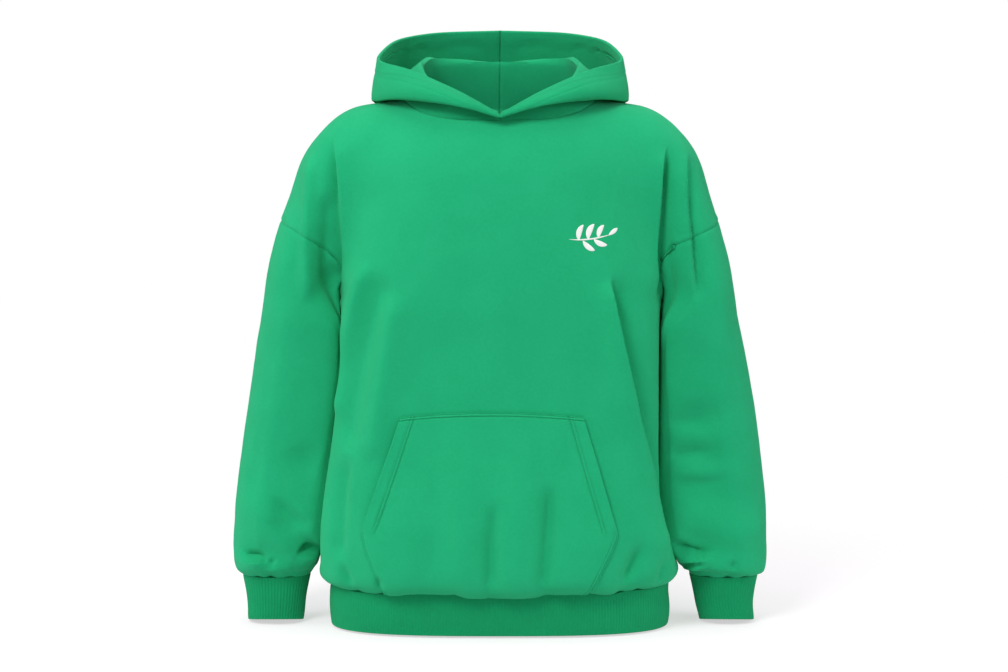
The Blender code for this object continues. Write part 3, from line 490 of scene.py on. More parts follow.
CREASES = (
    *table(
        Crease, (Cloth.BOTH, Face.FRONT),
        ((-3, 10), (2.4, 20), 1.5,
         ((-208.8, -43.7), (-202.7, -80.4), (-198.4, -129.4), (-196.5, -184.8), (-194.7, -246.5))),
        ((3, 20), (-4.6, 10), 1.3,
         ((210.2, -53.5), (205.3, -69.3), (201.6, -111), (198.6, -147.8), (196.7, -190.9), (194.9, -246.5))),
        ((1.2, 12), (-4.2, 12), 2.6,
         ((235.2, -61.8), (236.5, -111.1), (237.7, -154.4), (238.9, -200.3), (242.7, -253.8))),
        ((3, 8), (3, 8), 2.4,
         ((-236.4, -61.8), (-240.1, -111.1), (-241.3, -160.6), (-240.1, -200.3), (-236.4, -253.8))),
        ((-3.6, 10), (-3.6, 10), 2.4,
         ((-215, -111), (-213.8, -154.2), (-212.5, -199.9), (-211.3, -247))),
    ),
    *table(
        Crease, (Cloth.BODY, Face.FRONT),
        ((4.5, 12), (4.5, 8), 2.4,
         ((-158, -194.3), (-170.2, -233.7), (-181.3, -273.2), (-189.9, -310.3), (-197.8, -357.5),
          (-203.3, -401))),
        ((-3.4, 12), (-3.4, 16), 2.4,
         ((-139, -208.6), (-152.5, -257.7), (-165.9, -307), (-176.9, -356.4), (-185.4, -406),
          (-190, -432.8))),
        ((-4.2, 11), (-4.2, 9), 2,
         ((-185.3, -432.8), (-197.6, -489.2), (-201.3, -540.7), (-200.1, -577.3))),
        ((2.8, 14), (2.8, 14), 2.4,
         ((-124.8, -232.3), (-145.4, -354.8), (-157.6, -447.3))),
        ((3.6, 18), (-7.2, 17), 1.8,
         ((133.2, -214.8), (139.3, -247.9), (149, -294.7), (160, -341.6), (171, -386.1), (183.2, -428.3),
          (191.8, -461.9), (198.5, -499.3), (205.2, -530.5), (213.7, -570.6))),
        ((-4, 9), (-4, 9), 2,
         ((61, -465), (57, -540), (51.9, -609))),
        ((-3.4, 9), (-3.4, 9), 2,
         ((-7, -485), (-9, -545), (-10.6, -609))),
        ((-4, 8), (-4, 7), 2,
         ((180, -540), (166, -574), (149.1, -607))),
        ((-3, 6), (-3, 6), 2,
         ((206.4, -564.7), (202.7, -587.4), (196.6, -606.3))),
        ((-2.2, 5), (-2.2, 5), 2,
         ((-147.2, -580.7), (-148.5, -591.9), (-148.5, -605.6))),
        ((-3, 6), (-3, 6), 2,
         ((-199.2, -569.1), (-190.7, -594.2), (-180.9, -613.1))),
    ),
    *table(
        Crease, (Cloth.SLEEVE, Face.FRONT),
        ((-7.6, 12), (4, 14), 2.2,
         ((-221.2, -562.6), (-231.1, -570.3), (-244.8, -574.1), (-257.2, -572.9))),
        ((4, 12), (-5.6, 8), 2.2,
         ((-333.1, -567.1), (-323.1, -576), (-306.9, -578.6), (-291.9, -587.6))),
        ((-4.4, 9), (-4.4, 9), 2.4,
         ((-287.7, -493.1), (-272.8, -512.2), (-256.7, -527.4), (-233.1, -536.3))),
        ((-2.6, 8), (-2.6, 8), 2.4,
         ((-295.7, -521.9), (-273.4, -534.6), (-249.7, -558.8))),
        ((-2.8, 3.5), (-2.8, 3.5), 2,
         ((-284.5, -575.4), (-289.5, -583.1), (-293.2, -592))),
        ((4, 14), (-7.6, 12), 2.2,
         ((212.5, -552.5), (222.5, -563.9), (236.1, -572.9), (256, -575.4), (275.9, -570.3))),
        ((2.8, 6), (-2.8, 6), 2.4,
         ((227.4, -594.6), (246.1, -585.6), (266, -584.3))),
        ((-2.4, 4), (-2.4, 4), 2,
         ((290.7, -578.6), (295.7, -586.3), (296.9, -595.3))),
        ((-1.6, 8), (-1.6, 8), 2,
         ((202.7, -397.2), (234.8, -403.4), (266.9, -398.4))),
        ((-1.8, 8), (-1.8, 8), 2,
         ((205.1, -437.4), (234.8, -442.4), (271.8, -436.1))),
        ((-1.6, 8), (-1.6, 8), 2,
         ((210.5, -470.9), (247.6, -479.7), (294.6, -470.9))),
    ),
    *table(
        Crease, (Cloth.BOTH, Face.BACK),
        ((-5.6, 16), (3.2, 20), 2.6,
         ((-206, -56), (-201, -115), (-197.5, -185), (-196, -250), (-194.5, -335))),
        ((3.2, 20), (-5.6, 16), 2.6,
         ((207, -52), (201, -108), (198.5, -175), (196.5, -245), (196, -390))),
    ),
    *table(
        Crease, (Cloth.BODY, Face.BACK),
        ((-6.2, 16), (3.6, 18), 3,
         ((-136, -220), (-153, -305), (-170, -385), (-190, -470), (-208, -550))),
        ((3.4, 16), (-5.6, 14), 2.8,
         ((148, -235), (162, -315), (176, -395), (188, -460))),
    ),
    *table(
        Crease, (Cloth.SLEEVE, Face.BACK),
        ((-6.6, 6), (-6.6, 6), 2,
         ((-326, -568), (-304, -574), (-278, -570))),
        ((-6.6, 6), (-6.6, 6), 2,
         ((250, -566), (276, -575), (308, -570))),
    ),
)


class Notch(NamedTuple):
    """A small crease that starts at a gathered seam and fades away from it."""

    face: Face
    x: float
    depth: float
    length: float
    drift: float


HEM_NOTCHES = (
    *table(
        Notch, (Face.FRONT,),
        (-178, 3, 22, 0.2), (-146, 2.4, 18, -0.15), (-116, 1.6, 14, 0.1), (-56, 4, 12, 0.3),
        (-11, 5.2, 26, -0.15), (4, 2.2, 14, 0.2), (36, 3.6, 20, 0.15), (58, 3.6, 30, 0.05),
        (92, 1.8, 14, -0.2), (148, 3.6, 22, 0.15), (172, 3, 20, -0.1),
    ),
    *table(
        Notch, (Face.BACK,),
        (-170, 2.6, 24, 0.1), (-128, 2.2, 16, -0.15), (-88, 2.6, 26, 0.1), (-40, 2.6, 16, 0.25),
        (10, 2.6, 24, -0.1), (46, 2.4, 14, 0.2), (100, 2.6, 28, 0.05), (140, 2.2, 16, -0.2),
        (176, 2.6, 22, 0.1),
    ),
)
CUFF_NOTCHES = (
    *table(
        Notch, (Face.FRONT,),
        (-309, 2.2, 12, -0.3), (-292, 4.2, 14, -0.35), (-268, 2.2, 12, 0.25), (264, 2.4, 12, -0.3),
        (290, 4, 14, 0.35), (312, 2.2, 12, 0.25),
    ),
    *table(
        Notch, (Face.BACK,),
        (-306, 3, 13, 0.2), (-276, 3.4, 15, -0.25), (274, 3.4, 14, 0.25), (304, 2.8, 12, -0.2),
    ),
)
NOTCH_WIDTH, NOTCH_SPREAD = 0.0050, 0.25  # a notch's half width at the seam, and how it widens
NOTCH_SHARE = 0.65  # the share of a notch's stated depth that the cloth takes


class SeamStep(NamedTuple):
    """How far the hem seam rides up at a place across the front or the back."""

    x: float
    rise: float


HEM_LINE = {
    Face.FRONT: table(
        SeamStep, (),
        (-200, 1), (-158, 0), (-130, 1), (-97, 4.2), (-58, 3.6), (-36, -1), (24, -1.2), (37, -1.6),
        (56, 3), (85, 3), (110, 2), (134, -0.8), (158, 3.4), (200, 2.6),
    ),
    Face.BACK: table(
        SeamStep, (),
        (-200, 1), (-150, -0.8), (-88, 3.2), (-44, -0.6), (10, 2.6), (50, -1.2), (100, 3.4), (150, -0.4),
        (200, 2.6),
    ),
}

# ---- curves

PROBE = 2e-4  # half the distance over which a slope is measured
SETS_IN, ENDS = 0.032, 0.05  # how far it takes a sleeve to press against the body, and to leave it


def smooth(value: Points) -> Points:
    """An eased step from 0 to 1."""
    value = np.clip(value, 0, 1)
    return value * value * (3 - 2 * value)


def bump(away: Points, width: float) -> Points:
    """A bell of height 1 over a distance."""
    return np.exp(-((away / width) ** 2))


def unit(vectors: Points) -> Points:
    """Vectors made one long."""
    return vectors / np.maximum(np.linalg.norm(vectors, axis=-1, keepdims=True), 1e-12)


def power(value: Points, exponent: float) -> Points:
    """A power that keeps the value's sign."""
    return np.sign(value) * np.abs(value) ** exponent


def hanging(z: Points, top: float, foot: float) -> Points:
    """How fully sleeve and body press against each other, 0 to 1, from a top down to a foot."""
    return smooth((top - z) / SETS_IN) * smooth((z - foot) / ENDS)


def bent(start: Points, bend: Points, end: Points, t: Points) -> Points:
    """Points on a line that is drawn towards its bend."""
    return (1 - t) ** 2 * start + 2 * t * (1 - t) * bend + t**2 * end


def slope(height: Callable[[Points], Points], p: Points) -> Points:
    """How a height in space changes along x, y and z at each point."""
    sides = [height(p + PROBE * e) - height(p - PROBE * e) for e in np.eye(3)]
    return np.stack(sides, axis=-1) / (2 * PROBE)


def nearest(line: Points, q: Points) -> tuple[Points, Points, Points]:
    """The nearest place on a line of straight stretches.

    Args:
        line: the line's points in a plane.
        q: a list of points in the same plane.

    Returns:
        The stretch of the line, the share of that stretch before the place, and how far each point
        lies to the left of the line, under 0 to its right.
    """
    run = np.diff(line, axis=0)
    from_start = q[:, None] - line[:-1]
    share = np.clip((from_start * run).sum(-1) / (run * run).sum(-1), 0, 1)
    off = from_start - share[..., None] * run
    stretch = (off * off).sum(-1).argmin(-1)
    picked = np.arange(len(q)), stretch
    off, run = off[picked], run[stretch]
    turn = run[:, 0] * off[:, 1] - run[:, 1] * off[:, 0]
    return stretch, share[picked], np.sign(turn) * np.linalg.norm(off, axis=-1)


def column(rows: tuple, name: str) -> Points:
    """One named column of a table."""
    return np.array([getattr(row, name) for row in rows], float)


def track(stops: Points, values: Points, at: Points) -> Points:
    """Smooth values along a table, which never overshoot its rows.

    Args:
        stops: where the table's rows lie, rising or falling.
        values: the table's values there.
        at: where values are wanted.

    Returns:
        The values at those places.
    """
    stops, values = np.asarray(stops, float), np.asarray(values, float)
    if stops[0] > stops[-1]:
        stops, values = stops[::-1], values[::-1]
    step = np.diff(stops)
    rise = np.diff(values) / step
    same = rise[:-1] * rise[1:] > 0
    total = np.where(same, rise[:-1] + rise[1:], 1.0)
    inner = np.where(same, 2 * rise[:-1] * rise[1:] / total, 0.0)
    rates = np.concatenate([rise[:1], inner, rise[-1:]])
    at = np.clip(at, stops[0], stops[-1])
    k = np.clip(np.searchsorted(stops, at, side="right") - 1, 0, len(step) - 1)
    u = (at - stops[k]) / step[k]
    leave, arrive = rates[k] * step[k], rates[k + 1] * step[k]
    bend = u * (1 - u) ** 2 * leave - u * u * (1 - u) * arrive
    return values[k] + (values[k + 1] - values[k]) * smooth(u) + bend


def spline(keys: Points, at: Points) -> Points:
    """Points of a smooth curve through keys.

    Args:
        keys: points or whole rows of points along the first axis.
        at: places along it, in keys counted from 0.

    Returns:
        One point or row for each place.
    """
    keys = np.asarray(keys, float)
    last = len(keys) - 1
    links = np.diag(np.full(last + 1, 4.0)) + np.diag(np.ones(last), 1) + np.diag(np.ones(last), -1)
    links[0], links[-1] = 0, 0
    links[0, 0] = links[-1, -1] = 6
    control = np.tensordot(np.linalg.inv(links / 6), keys, 1)
    control = np.concatenate([[2 * control[0] - control[1]], control, [2 * control[-1] - control[-2]]])
    at = np.asarray(at, float)
    k = np.clip(at.astype(int), 0, last - 1)
    u = (at - k).reshape((-1,) + (1,) * (keys.ndim - 1))
    weights = ((1 - u) ** 3, 3 * u**3 - 6 * u**2 + 4, -3 * u**3 + 3 * u**2 + 3 * u + 1, u**3)
    return sum(weight * control[k + i] for i, weight in enumerate(weights)) / 6


def joined(parts: list[Points], at: Points) -> Points:
    """Points on several curves that follow each other, with a corner where they meet.

    Args:
        parts: each curve's keys, the last key of one being the first of the next.
        at: places along all of them, in keys counted from 0.

    Returns:
        One point for each place.
    """
    points, start = np.empty((len(at), 3)), 0
    for part in parts:
        here = (at >= start - 1e-9) & (at <= start + len(part) - 1 + 1e-9)
        points[here] = spline(part, np.clip(at[here] - start, 0, len(part) - 1))
        start += len(part) - 1
    return points


def evenly(points: Points, cells: int) -> Points:
    """The same curve as points an equal length apart."""
    lengths = np.linalg.norm(np.diff(points, axis=0), axis=1)
    along = np.concatenate([[0], np.cumsum(lengths)])
    at = np.linspace(0, along[-1], cells + 1)
    return np.stack([np.interp(at, along, points[:, i]) for i in range(3)], axis=1)


def mirrored(points: Points) -> Points:
    """Points moved to the other side of the body."""
    return points * np.array([-1, 1, 1])


# ---- the form under the cloth


@dataclass(frozen=True)
class BodyForm:
    """The body's form, from level rings.

    Where a sleeve hangs in between front and back, from tuck_top down to tuck_foot, a side is drawn in
    by the share tuck of its half width, as far as tuck_reach from the depth tuck_middle.
    """

    rings: tuple[Ring, ...] = BODY
    tuck: float = 0.055
    tuck_top: float = -0.254
    tuck_foot: float = -0.600
    tuck_middle: float = 0.012
    tuck_reach: float = 0.088
    tuck_ease: float = 0.050
    ring_points: int = 400

    def waist(self, y: Points, z: Points) -> Points:
        """The share of its half width that a side keeps at a depth and a height."""
        near = smooth((self.tuck_reach - np.abs(y - self.tuck_middle)) / self.tuck_ease)
        return 1 - self.tuck * hanging(z, self.tuck_top, self.tuck_foot) * near

    def sizes(self, x: Points, y: Points, z: Points) -> tuple[Points, Points, Points]:
        """The sizes of the body's section.

        Args:
            x: places across, of which only the sign counts.
            y: depths, of which only the sign counts.
            z: heights.

        Returns:
            Half width, depth and squareness at each point.
        """
        heights = column(self.rings, "height")

        def size(first: str, second: str, value: Points) -> Points:
            """One size, which differs under and over 0."""
            low, high = (track(heights, column(self.rings, name), z) for name in (first, second))
            return np.where(value < 0, low, high)

        square = track(heights, column(self.rings, "square"), z)
        return size("left", "right", x), size("front", "back", y), square

    def gap(self, p: Points) -> Points:
        """About how far each point lies outside the body, without the sleeves."""
        x, y, z = p[..., 0], p[..., 1], p[..., 2]
        half, deep, square = self.sizes(x, y, z)
        across, ahead = np.abs(x) / (half * self.waist(y, z)), np.abs(y) / deep
        size = (across**square + ahead**square) ** (1 / square)
        return np.hypot(x, y) * (1 - 1 / np.maximum(size, 1e-6))

    def point(self, angle: Points, z: Points) -> Points:
        """A point of the body's section, with the angle counted from +X against the clock."""
        x, y = np.cos(angle), np.sin(angle)
        half, deep, square = self.sizes(x, y, z)
        y = deep * power(y, 2 / square)
        return np.stack([half * self.waist(y, z) * power(x, 2 / square), y, z + 0 * x], axis=-1)

    def half_ring(self, face: Face, z: float, cells: int) -> Points:
        """The front or back half of a level ring, from the left side to the right, evenly divided."""
        angles = math.pi + np.linspace(0, math.pi, self.ring_points) * -int(face)
        return evenly(self.point(angles, np.full(self.ring_points, z)), cells)


@dataclass(frozen=True)
class ArmForm:
    """The sleeves' form, from sections along each arm.

    Where a sleeve hangs against the body, from pressed_top down to pressed_foot, the half of its
    section beside the body is squarer by pressed and reaches further in by tucked.
    """

    rows: tuple[Arm, ...] = ARM
    steps: int = 6
    square: float = 2.3
    pressed: float = 2.4
    pressed_top: float = -0.242
    pressed_foot: float = -0.595
    tucked: float = 0.010

    @cache
    def line(self, side: Side) -> Points:
        """The sleeve's middle line and sizes as fine rows: x, z, half width, half depth, middle y."""
        rows = np.arange(len(self.rows))
        at = np.linspace(0, rows[-1], self.steps * rows[-1] + 1)
        names = ("x_" + side.word, "height", "wide_" + side.word, "deep", "middle")
        return np.stack([track(rows, column(self.rows, name), at) for name in names], axis=1)

    def place(self, p: Points, side: Side) -> tuple[Points, Points, Points]:
        """The nearest place on a sleeve's line.

        Args:
            p: points near the sleeve.
            side: the sleeve's side.

        Returns:
            The place in rows of the table, the sizes there, and how far outward each point lies.
        """
        line = self.line(side)
        q = np.stack([side * p[..., 0], p[..., 2]], axis=-1)
        found = nearest(line[:, :2], q.reshape(-1, 2))
        stretch, share, out = (part.reshape(p.shape[:-1]) for part in found)
        sizes = line[stretch] + (line[stretch + 1] - line[stretch]) * share[..., None]
        return (stretch + share) / self.steps, sizes, out

    def inner(self, z: Points, out: Points) -> tuple[Points, Points]:
        """The section's exponent, and how much wider it is, on the half that hangs in against the body."""
        hangs = hanging(z, self.pressed_top, self.pressed_foot) * (out < 0)
        return self.square + self.pressed * hangs, self.tucked * hangs

    def gap(self, p: Points) -> Points:
        """About how far each point lies outside the nearer sleeve."""
        gap = np.empty(p.shape[:-1])
        for side in Side:
            mine = np.sign(p[..., 0] + 1e-12) == side
            _, sizes, out = self.place(p[mine], side)
            y = p[mine][..., 1] - sizes[..., 4]
            square, wider = self.inner(p[mine][..., 2], out)
            size = np.abs(out / (sizes[..., 2] + wider)) ** square + np.abs(y / sizes[..., 3]) ** square
            gap[mine] = np.hypot(out, y) * (1 - 1 / np.maximum(size ** (1 / square), 1e-6))
        return gap

    def point(self, at: Points, angle: Points, side: Side) -> Points:
        """A point of a sleeve's section.

        Args:
            at: the section, in rows of the table.
            angle: the angle round it, counted from +X against the clock.
            side: the sleeve's side.

        Returns:
            The point, or one for each place and angle.
        """
        line = self.line(side)
        rows = np.arange(len(line)) / self.steps
        x, z, wide, deep, middle = (np.interp(at, rows, line[:, i]) for i in range(5))
        run = np.stack([np.interp(at, rows, np.gradient(line[:, i])) for i in range(2)])
        run /= np.linalg.norm(run, axis=0)
        square, wider = self.inner(z, side * np.cos(angle))
        out = (wide + wider) * side * power(np.cos(angle), 2 / square)
        y = middle + deep * power(np.sin(angle), 2 / square)
        return np.stack([side * (x - run[1] * out), y, z + run[0] * out], axis=-1)


@dataclass(frozen=True)
class Folds:
    """Every fold of the cloth, and how it fades towards side seams and hems."""

    folds: tuple[Fold, ...] = MAIN_FOLDS
    creases: tuple[Crease, ...] = CREASES
    stretches: int = 8
    reach: float = 2.6
    fold_end: float = 0.25
    crease_fade: float = 0.030
    longest_fade: float = 0.45
    turned: float = 0.5
    strength: float = 2.0
    face_fade: float = 0.045
    seam_fade: float = 0.014

    def line(self, fold: Fold) -> Points:
        """A fold's line as short straight stretches."""
        start, bend, end = (np.array(point) for point in (fold.start, fold.bend, fold.end))
        return bent(start, bend, end, np.linspace(0, 1, self.stretches + 1)[:, None])

    def beside(
        self, flat: Points, face: Face, line: Points, width: float
    ) -> tuple[Points, Points, Points, float]:
        """The points near a line on one face.

        Args:
            flat: a list of points.
            face: the face that the line lies on.
            line: the line from above, seen from the front, as (x, z).
            width: how wide the fold is that lies along it.

        Returns:
            Which points those are, how far to the right of the line each lies (under 0 to its left),
            how far along it, and the line's length.
        """
        low, high, seen = line.min(0), line.max(0), flat[:, [0, 2]]
        reach = self.reach * width
        near = ((seen > low - reach) & (seen < high + reach)).all(1)
        near = np.flatnonzero(near & (int(face) * flat[:, 1] > 0))
        stretch, share, away = nearest(line, seen[near])
        lengths = np.linalg.norm(np.diff(line, axis=0), axis=1)
        along = (np.cumsum(lengths) - lengths)[stretch] + share * lengths[stretch]
        return near, away, along, lengths.sum()

    def height(self, p: Points, cloth: Cloth, normal: Points) -> Points:
        """How far folds move the cloth out at each point.

        Args:
            p: points of the cloth before folds.
            cloth: the cloth that they belong to.
            normal: the cloth's outward directions there.

        Returns:
            The height of the folds at each point.
        """
        flat, facing = p.reshape(-1, 3), normal[..., 1].reshape(-1)
        height = np.zeros(len(flat))
        for fold in (fold for fold in self.folds if fold.cloth in (cloth, Cloth.BOTH)):
            near, away, along, whole = self.beside(flat, fold.face, self.line(fold), fold.width)
            swell = self.fold_end + (1 - self.fold_end) * np.sin(math.pi * along / whole)
            facing_out = np.clip(int(fold.face) * flat[near, 1] / self.face_fade, 0, 1)
            height[near] += fold.height * bump(away, fold.width) * swell * facing_out
        for crease in (crease for crease in self.creases if crease.cloth in (cloth, Cloth.BOTH)):
            (left, left_reach), (right, right_reach) = crease.left, crease.right
            keys = np.array(crease.line)
            line = spline(keys, np.linspace(0, len(keys) - 1, 4 * len(keys)))
            near, away, along, whole = self.beside(flat, crease.face, line, max(left_reach, right_reach))
            fade = min(self.crease_fade, self.longest_fade * whole)
            share = smooth((away / crease.sharp + 1) / 2)
            swell = share * right * bump(away, right_reach) + (1 - share) * left * bump(away, left_reach)
            swell *= self.strength * smooth(along / fade) * smooth((whole - along) / fade)
            height[near] += swell * smooth(int(crease.face) * facing[near] / self.turned)
        return height.reshape(p.shape[:-1]) * smooth((p[..., 2] - HEM_SEAM) / self.seam_fade)


@dataclass(frozen=True)
class HoodieForm:
    """Body and sleeves as one form, with the cloth bridging the corners between them."""

    body: BodyForm = BodyForm()
    arms: ArmForm = ArmForm()
    folds: Folds = Folds()
    least_slope: float = 0.25
    room: float = 0.0009
    pressed_below: float = 0.02

    def gap(self, p: Points, cloth: Cloth) -> Points:
        """How far points lie outside the form that the body's or the sleeves' cloth follows."""
        body, arm = self.body.gap(p), self.arms.gap(p)
        reach = track(column(BRIDGE, "height"), column(BRIDGE, "reach"), p[..., 2])
        fill = np.maximum(reach - np.abs(arm - body), 0) ** 2 / (4 * reach)
        if cloth is Cloth.SLEEVE:
            return arm - fill
        return np.where(p[..., 2] > ARMPIT, np.minimum(arm, body), body) - fill

    def outward(self, p: Points, cloth: Cloth = Cloth.BODY) -> tuple[Points, Points]:
        """The form's outward direction at points near it, and its slope there."""
        change = slope(lambda q: self.gap(q, cloth), p)
        size = np.linalg.norm(change, axis=-1, keepdims=True)
        return change / np.maximum(size, 1e-9), size[..., 0]

    def settle(self, p: Points, cloth: Cloth = Cloth.BODY, rounds: int = 4) -> Points:
        """Points moved onto the form.

        Args:
            p: points near the form.
            cloth: the cloth that they belong to.
            rounds: how many times they are moved, each time nearer.

        Returns:
            The points on the form.
        """
        for _ in range(rounds):
            normal, size = self.outward(p, cloth)
            p = p - (self.gap(p, cloth) / np.maximum(size, self.least_slope))[..., None] * normal
        return p

    def folded(self, p: Points) -> Points:
        """Points of a seam with the body's folds."""
        normal = self.outward(p)[0]
        return p + self.folds.height(p, Cloth.BODY, normal)[..., None] * normal

    def beside_body(self, grid: Points) -> Points:
        """A sleeve's points pressed flat where the sleeve hangs against the body."""
        low = grid[..., 2] < ARMPIT - self.pressed_below
        for _ in range(3):
            short = np.maximum(self.room - self.body.gap(grid), 0) * low
            grid = grid + short[..., None] * unit(slope(self.body.gap, grid))
        return grid


FORM = HoodieForm()

# ---- seams


@dataclass(frozen=True)
class Pattern:
    """The seams that the pieces share, divided as the solids divide them."""

    neck_cells: int = 16
    shoulder_cells: int = 8
    side_cells: int = 16
    armhole_cells: int = 11
    neck_wide: float = 0.125
    neck_front: float = 0.097
    neck_back: float = 0.0985
    neck_square: float = 2.4
    neck_between: Pair = (-0.07, 0.05)
    side_first: float = 0.18
    side_more: float = 0.16
    armhole_row: int = 6
    armhole_keys: tuple[tuple[float, float, float, float], ...] = (
        (0.2030, 0.66, -0.224, 0.0), (0.2050, 0.98, -0.193, 0.003), (0.2440, 0.95, -0.168, 0.0),
    )  # x, the share of the sleeve's depth, z, and how much higher it lies on the right

    @property
    def body_cells(self) -> int:
        """Columns of a front or back panel."""
        return self.neck_cells + 2 * self.shoulder_cells

    @cache
    def neck(self, face: Face) -> Points:
        """Half of the neck seam, from the left shoulder round the front or back to the right one."""
        angle = np.linspace(math.pi, 0, 60)
        deep = self.neck_front if face is Face.FRONT else self.neck_back
        x, y = (power(part, 2 / self.neck_square) for part in (np.cos(angle), np.sin(angle)))
        points = np.stack([self.neck_wide * x, int(face) * deep * y, 0 * angle], axis=1)
        low, high = (np.full(len(points), end) for end in self.neck_between)
        for _ in range(24):
            points[:, 2] = (low + high) / 2
            inside = FORM.gap(points, Cloth.BODY) < 0
            low, high = np.where(inside, points[:, 2], low), np.where(inside, high, points[:, 2])
        return evenly(points, self.neck_cells)

    @cache
    def shoulder(self, side: Side) -> Points:
        """From the neck out to the top of the sleeve."""
        neck = self.neck(Face.FRONT)[0 if side is Side.LEFT else -1]
        end = np.array(SHOULDER_END) * (-side, 1, 1)
        first, last = (FORM.arms.place(point[None], side)[0][0] for point in (neck, end))
        points = FORM.arms.point(np.linspace(first, last, 40), np.full(40, side.outer), side)
        points[0] = neck
        points = evenly(FORM.settle(points), self.shoulder_cells)
        points[0] = neck
        return points

    @cache
    def side(self, side: Side) -> Points:
        """From the hem seam up to the armpit, with its rows closer together over the hem."""
        steps = np.minimum(self.side_first + self.side_more * np.arange(self.side_cells), 1.0)
        share = np.concatenate([[0], np.cumsum(steps)]) / steps.sum()
        z = HEM_SEAM + (ARMPIT - HEM_SEAM) * share
        return FORM.settle(FORM.body.point(np.full(len(z), side.outer), z))

    @cache
    def armhole(self, side: Side, face: Face) -> Points:
        """From the armpit round the front or back of the sleeve up to the shoulder."""
        row = ARM[self.armhole_row]
        keys = [self.side(side)[-1]]
        for x, share, z, skew in self.armhole_keys:
            keys.append((side * x, row.middle + share * (row.deep * int(face)), z + side * skew))
        keys.append(self.shoulder(side)[-1])
        points = FORM.settle(spline(keys, np.linspace(0, len(keys) - 1, 60)))
        points[0], points[-1] = keys[0], keys[-1]
        return evenly(points, self.armhole_cells)

    def edges(self, face: Face) -> tuple[list[Points], list[list[Points]]]:
        """The curves along a panel's top, and along its two sides, left first."""
        top = [self.shoulder(Side.LEFT)[::-1], self.neck(face), self.shoulder(Side.RIGHT)]
        return top, [[self.side(side), self.armhole(side, face)] for side in Side]


PATTERN = Pattern()


def hem_rise(p: Points) -> Points:
    """How far the wavy hem seam lifts the cloth at each point near it."""
    rise = np.zeros(p.shape[:-1])
    for face, steps in HEM_LINE.items():
        mine = track(column(steps, "x"), column(steps, "rise"), p[..., 0])
        rise += mine * smooth(0.5 + int(face) * p[..., 1] / 0.08)
    return rise * bump(p[..., 2] - HEM_SEAM, 0.024)


# ---- sheets of cloth


@dataclass(frozen=True)
class Unevenness:
    """Soft irregular heights in space, the same in every run."""

    seed: int
    count: int = 4096

    def at(self, p: Points, cell: float, stretch: float = 1.0) -> Points:
        """Heights between -1 and 1.

        Args:
            p: points in space.
            cell: about the distance from a high to a low.
            stretch: how many times longer the pattern is upright than across.

        Returns:
            One height for each point.
        """
        values = np.random.default_rng(self.seed).uniform(-1, 1, self.count)
        q = p / np.array([cell, cell, cell * stretch]) + 100
        base = np.floor(q).astype(np.int64)
        part = smooth(q - base)
        total = np.zeros(p.shape[:-1])
        for corner in product((0, 1), repeat=3):
            i, j, k = (base[..., axis] + corner[axis] for axis in range(3))
            weight = np.prod(np.where(corner, part, 1 - part), axis=-1)
            total += weight * values[(i * 73856093 ^ j * 19349663 ^ k * 83492791) % self.count]
        return total


class Wave(NamedTuple):
    """A layer of a cloth's unevenness: its height, its cell and how many times longer it is upright."""

    height: float
    cell: float
    stretch: float = 1.0


UNEVEN = Unevenness(71)


def uneven(p: Points, *waves: Wave) -> Points:
    """The height of a cloth's unevenness at each point."""
    return sum(wave.height * UNEVEN.at(p, wave.cell, wave.stretch) for wave in waves)


def refine(grid: Points, rows: Points, columns: Points, closed: bool = False) -> Points:
    """A finer sheet through a sheet's points.

    Args:
        grid: rows and columns of points.
        rows: the wanted rows, counted in the sheet's own.
        columns: the wanted columns, counted in the sheet's own.
        closed: whether the last column is followed by the first.

    Returns:
        The finer sheet's points.
    """
    upward = spline(grid, rows)
    across = upward.swapaxes(0, 1)
    if not closed:
        return spline(across, columns).swapaxes(0, 1)
    lap = 5
    around = np.concatenate([across[-lap:], across, across[: lap + 1]])
    return spline(around, columns + lap).swapaxes(0, 1)


STEP_EASE = 0.03  # over how far the distance between rows or columns changes


def stations(
    grid: Points,
    axis: int,
    step: float,
    edges: tuple[float, ...] = (0.0007, 0.0015, 0.0026),
    fine: Triple | None = None,
) -> Points:
    """Where a finer sheet's rows or columns go, closer together at both ends.

    Args:
        grid: the sheet that is made finer.
        axis: 0 for rows, 1 for columns.
        step: the distance between rows or columns away from the ends.
        edges: distances of the first rows from the end.
        fine: a smaller step, and how far from both ends it starts and stops.

    Returns:
        Places counted in the sheet's own rows or columns.
    """
    lengths = np.linalg.norm(np.diff(grid, axis=axis), axis=-1).mean(axis=1 - axis)
    along = np.concatenate([[0], np.cumsum(lengths)])
    probe = np.linspace(edges[-1], along[-1] - edges[-1], 2000)
    steps = np.full(len(probe), step)
    if fine is not None:
        from_end = np.minimum(probe, along[-1] - probe)
        small, first, last = fine
        share = smooth((from_end - first) / STEP_EASE + 0.5) * smooth((last - from_end) / STEP_EASE + 0.5)
        steps = step + (small - step) * share
    count = np.concatenate([[0], np.cumsum((probe[1] - probe[0]) / steps[1:])])
    inner = np.interp(np.linspace(0, count[-1], max(2, round(count[-1]))), count, probe)
    ends = np.array(edges[:-1])
    wanted = np.concatenate([[0], ends, inner, along[-1] - ends[::-1], [along[-1]]])
    return np.interp(wanted, along, np.arange(len(along)))


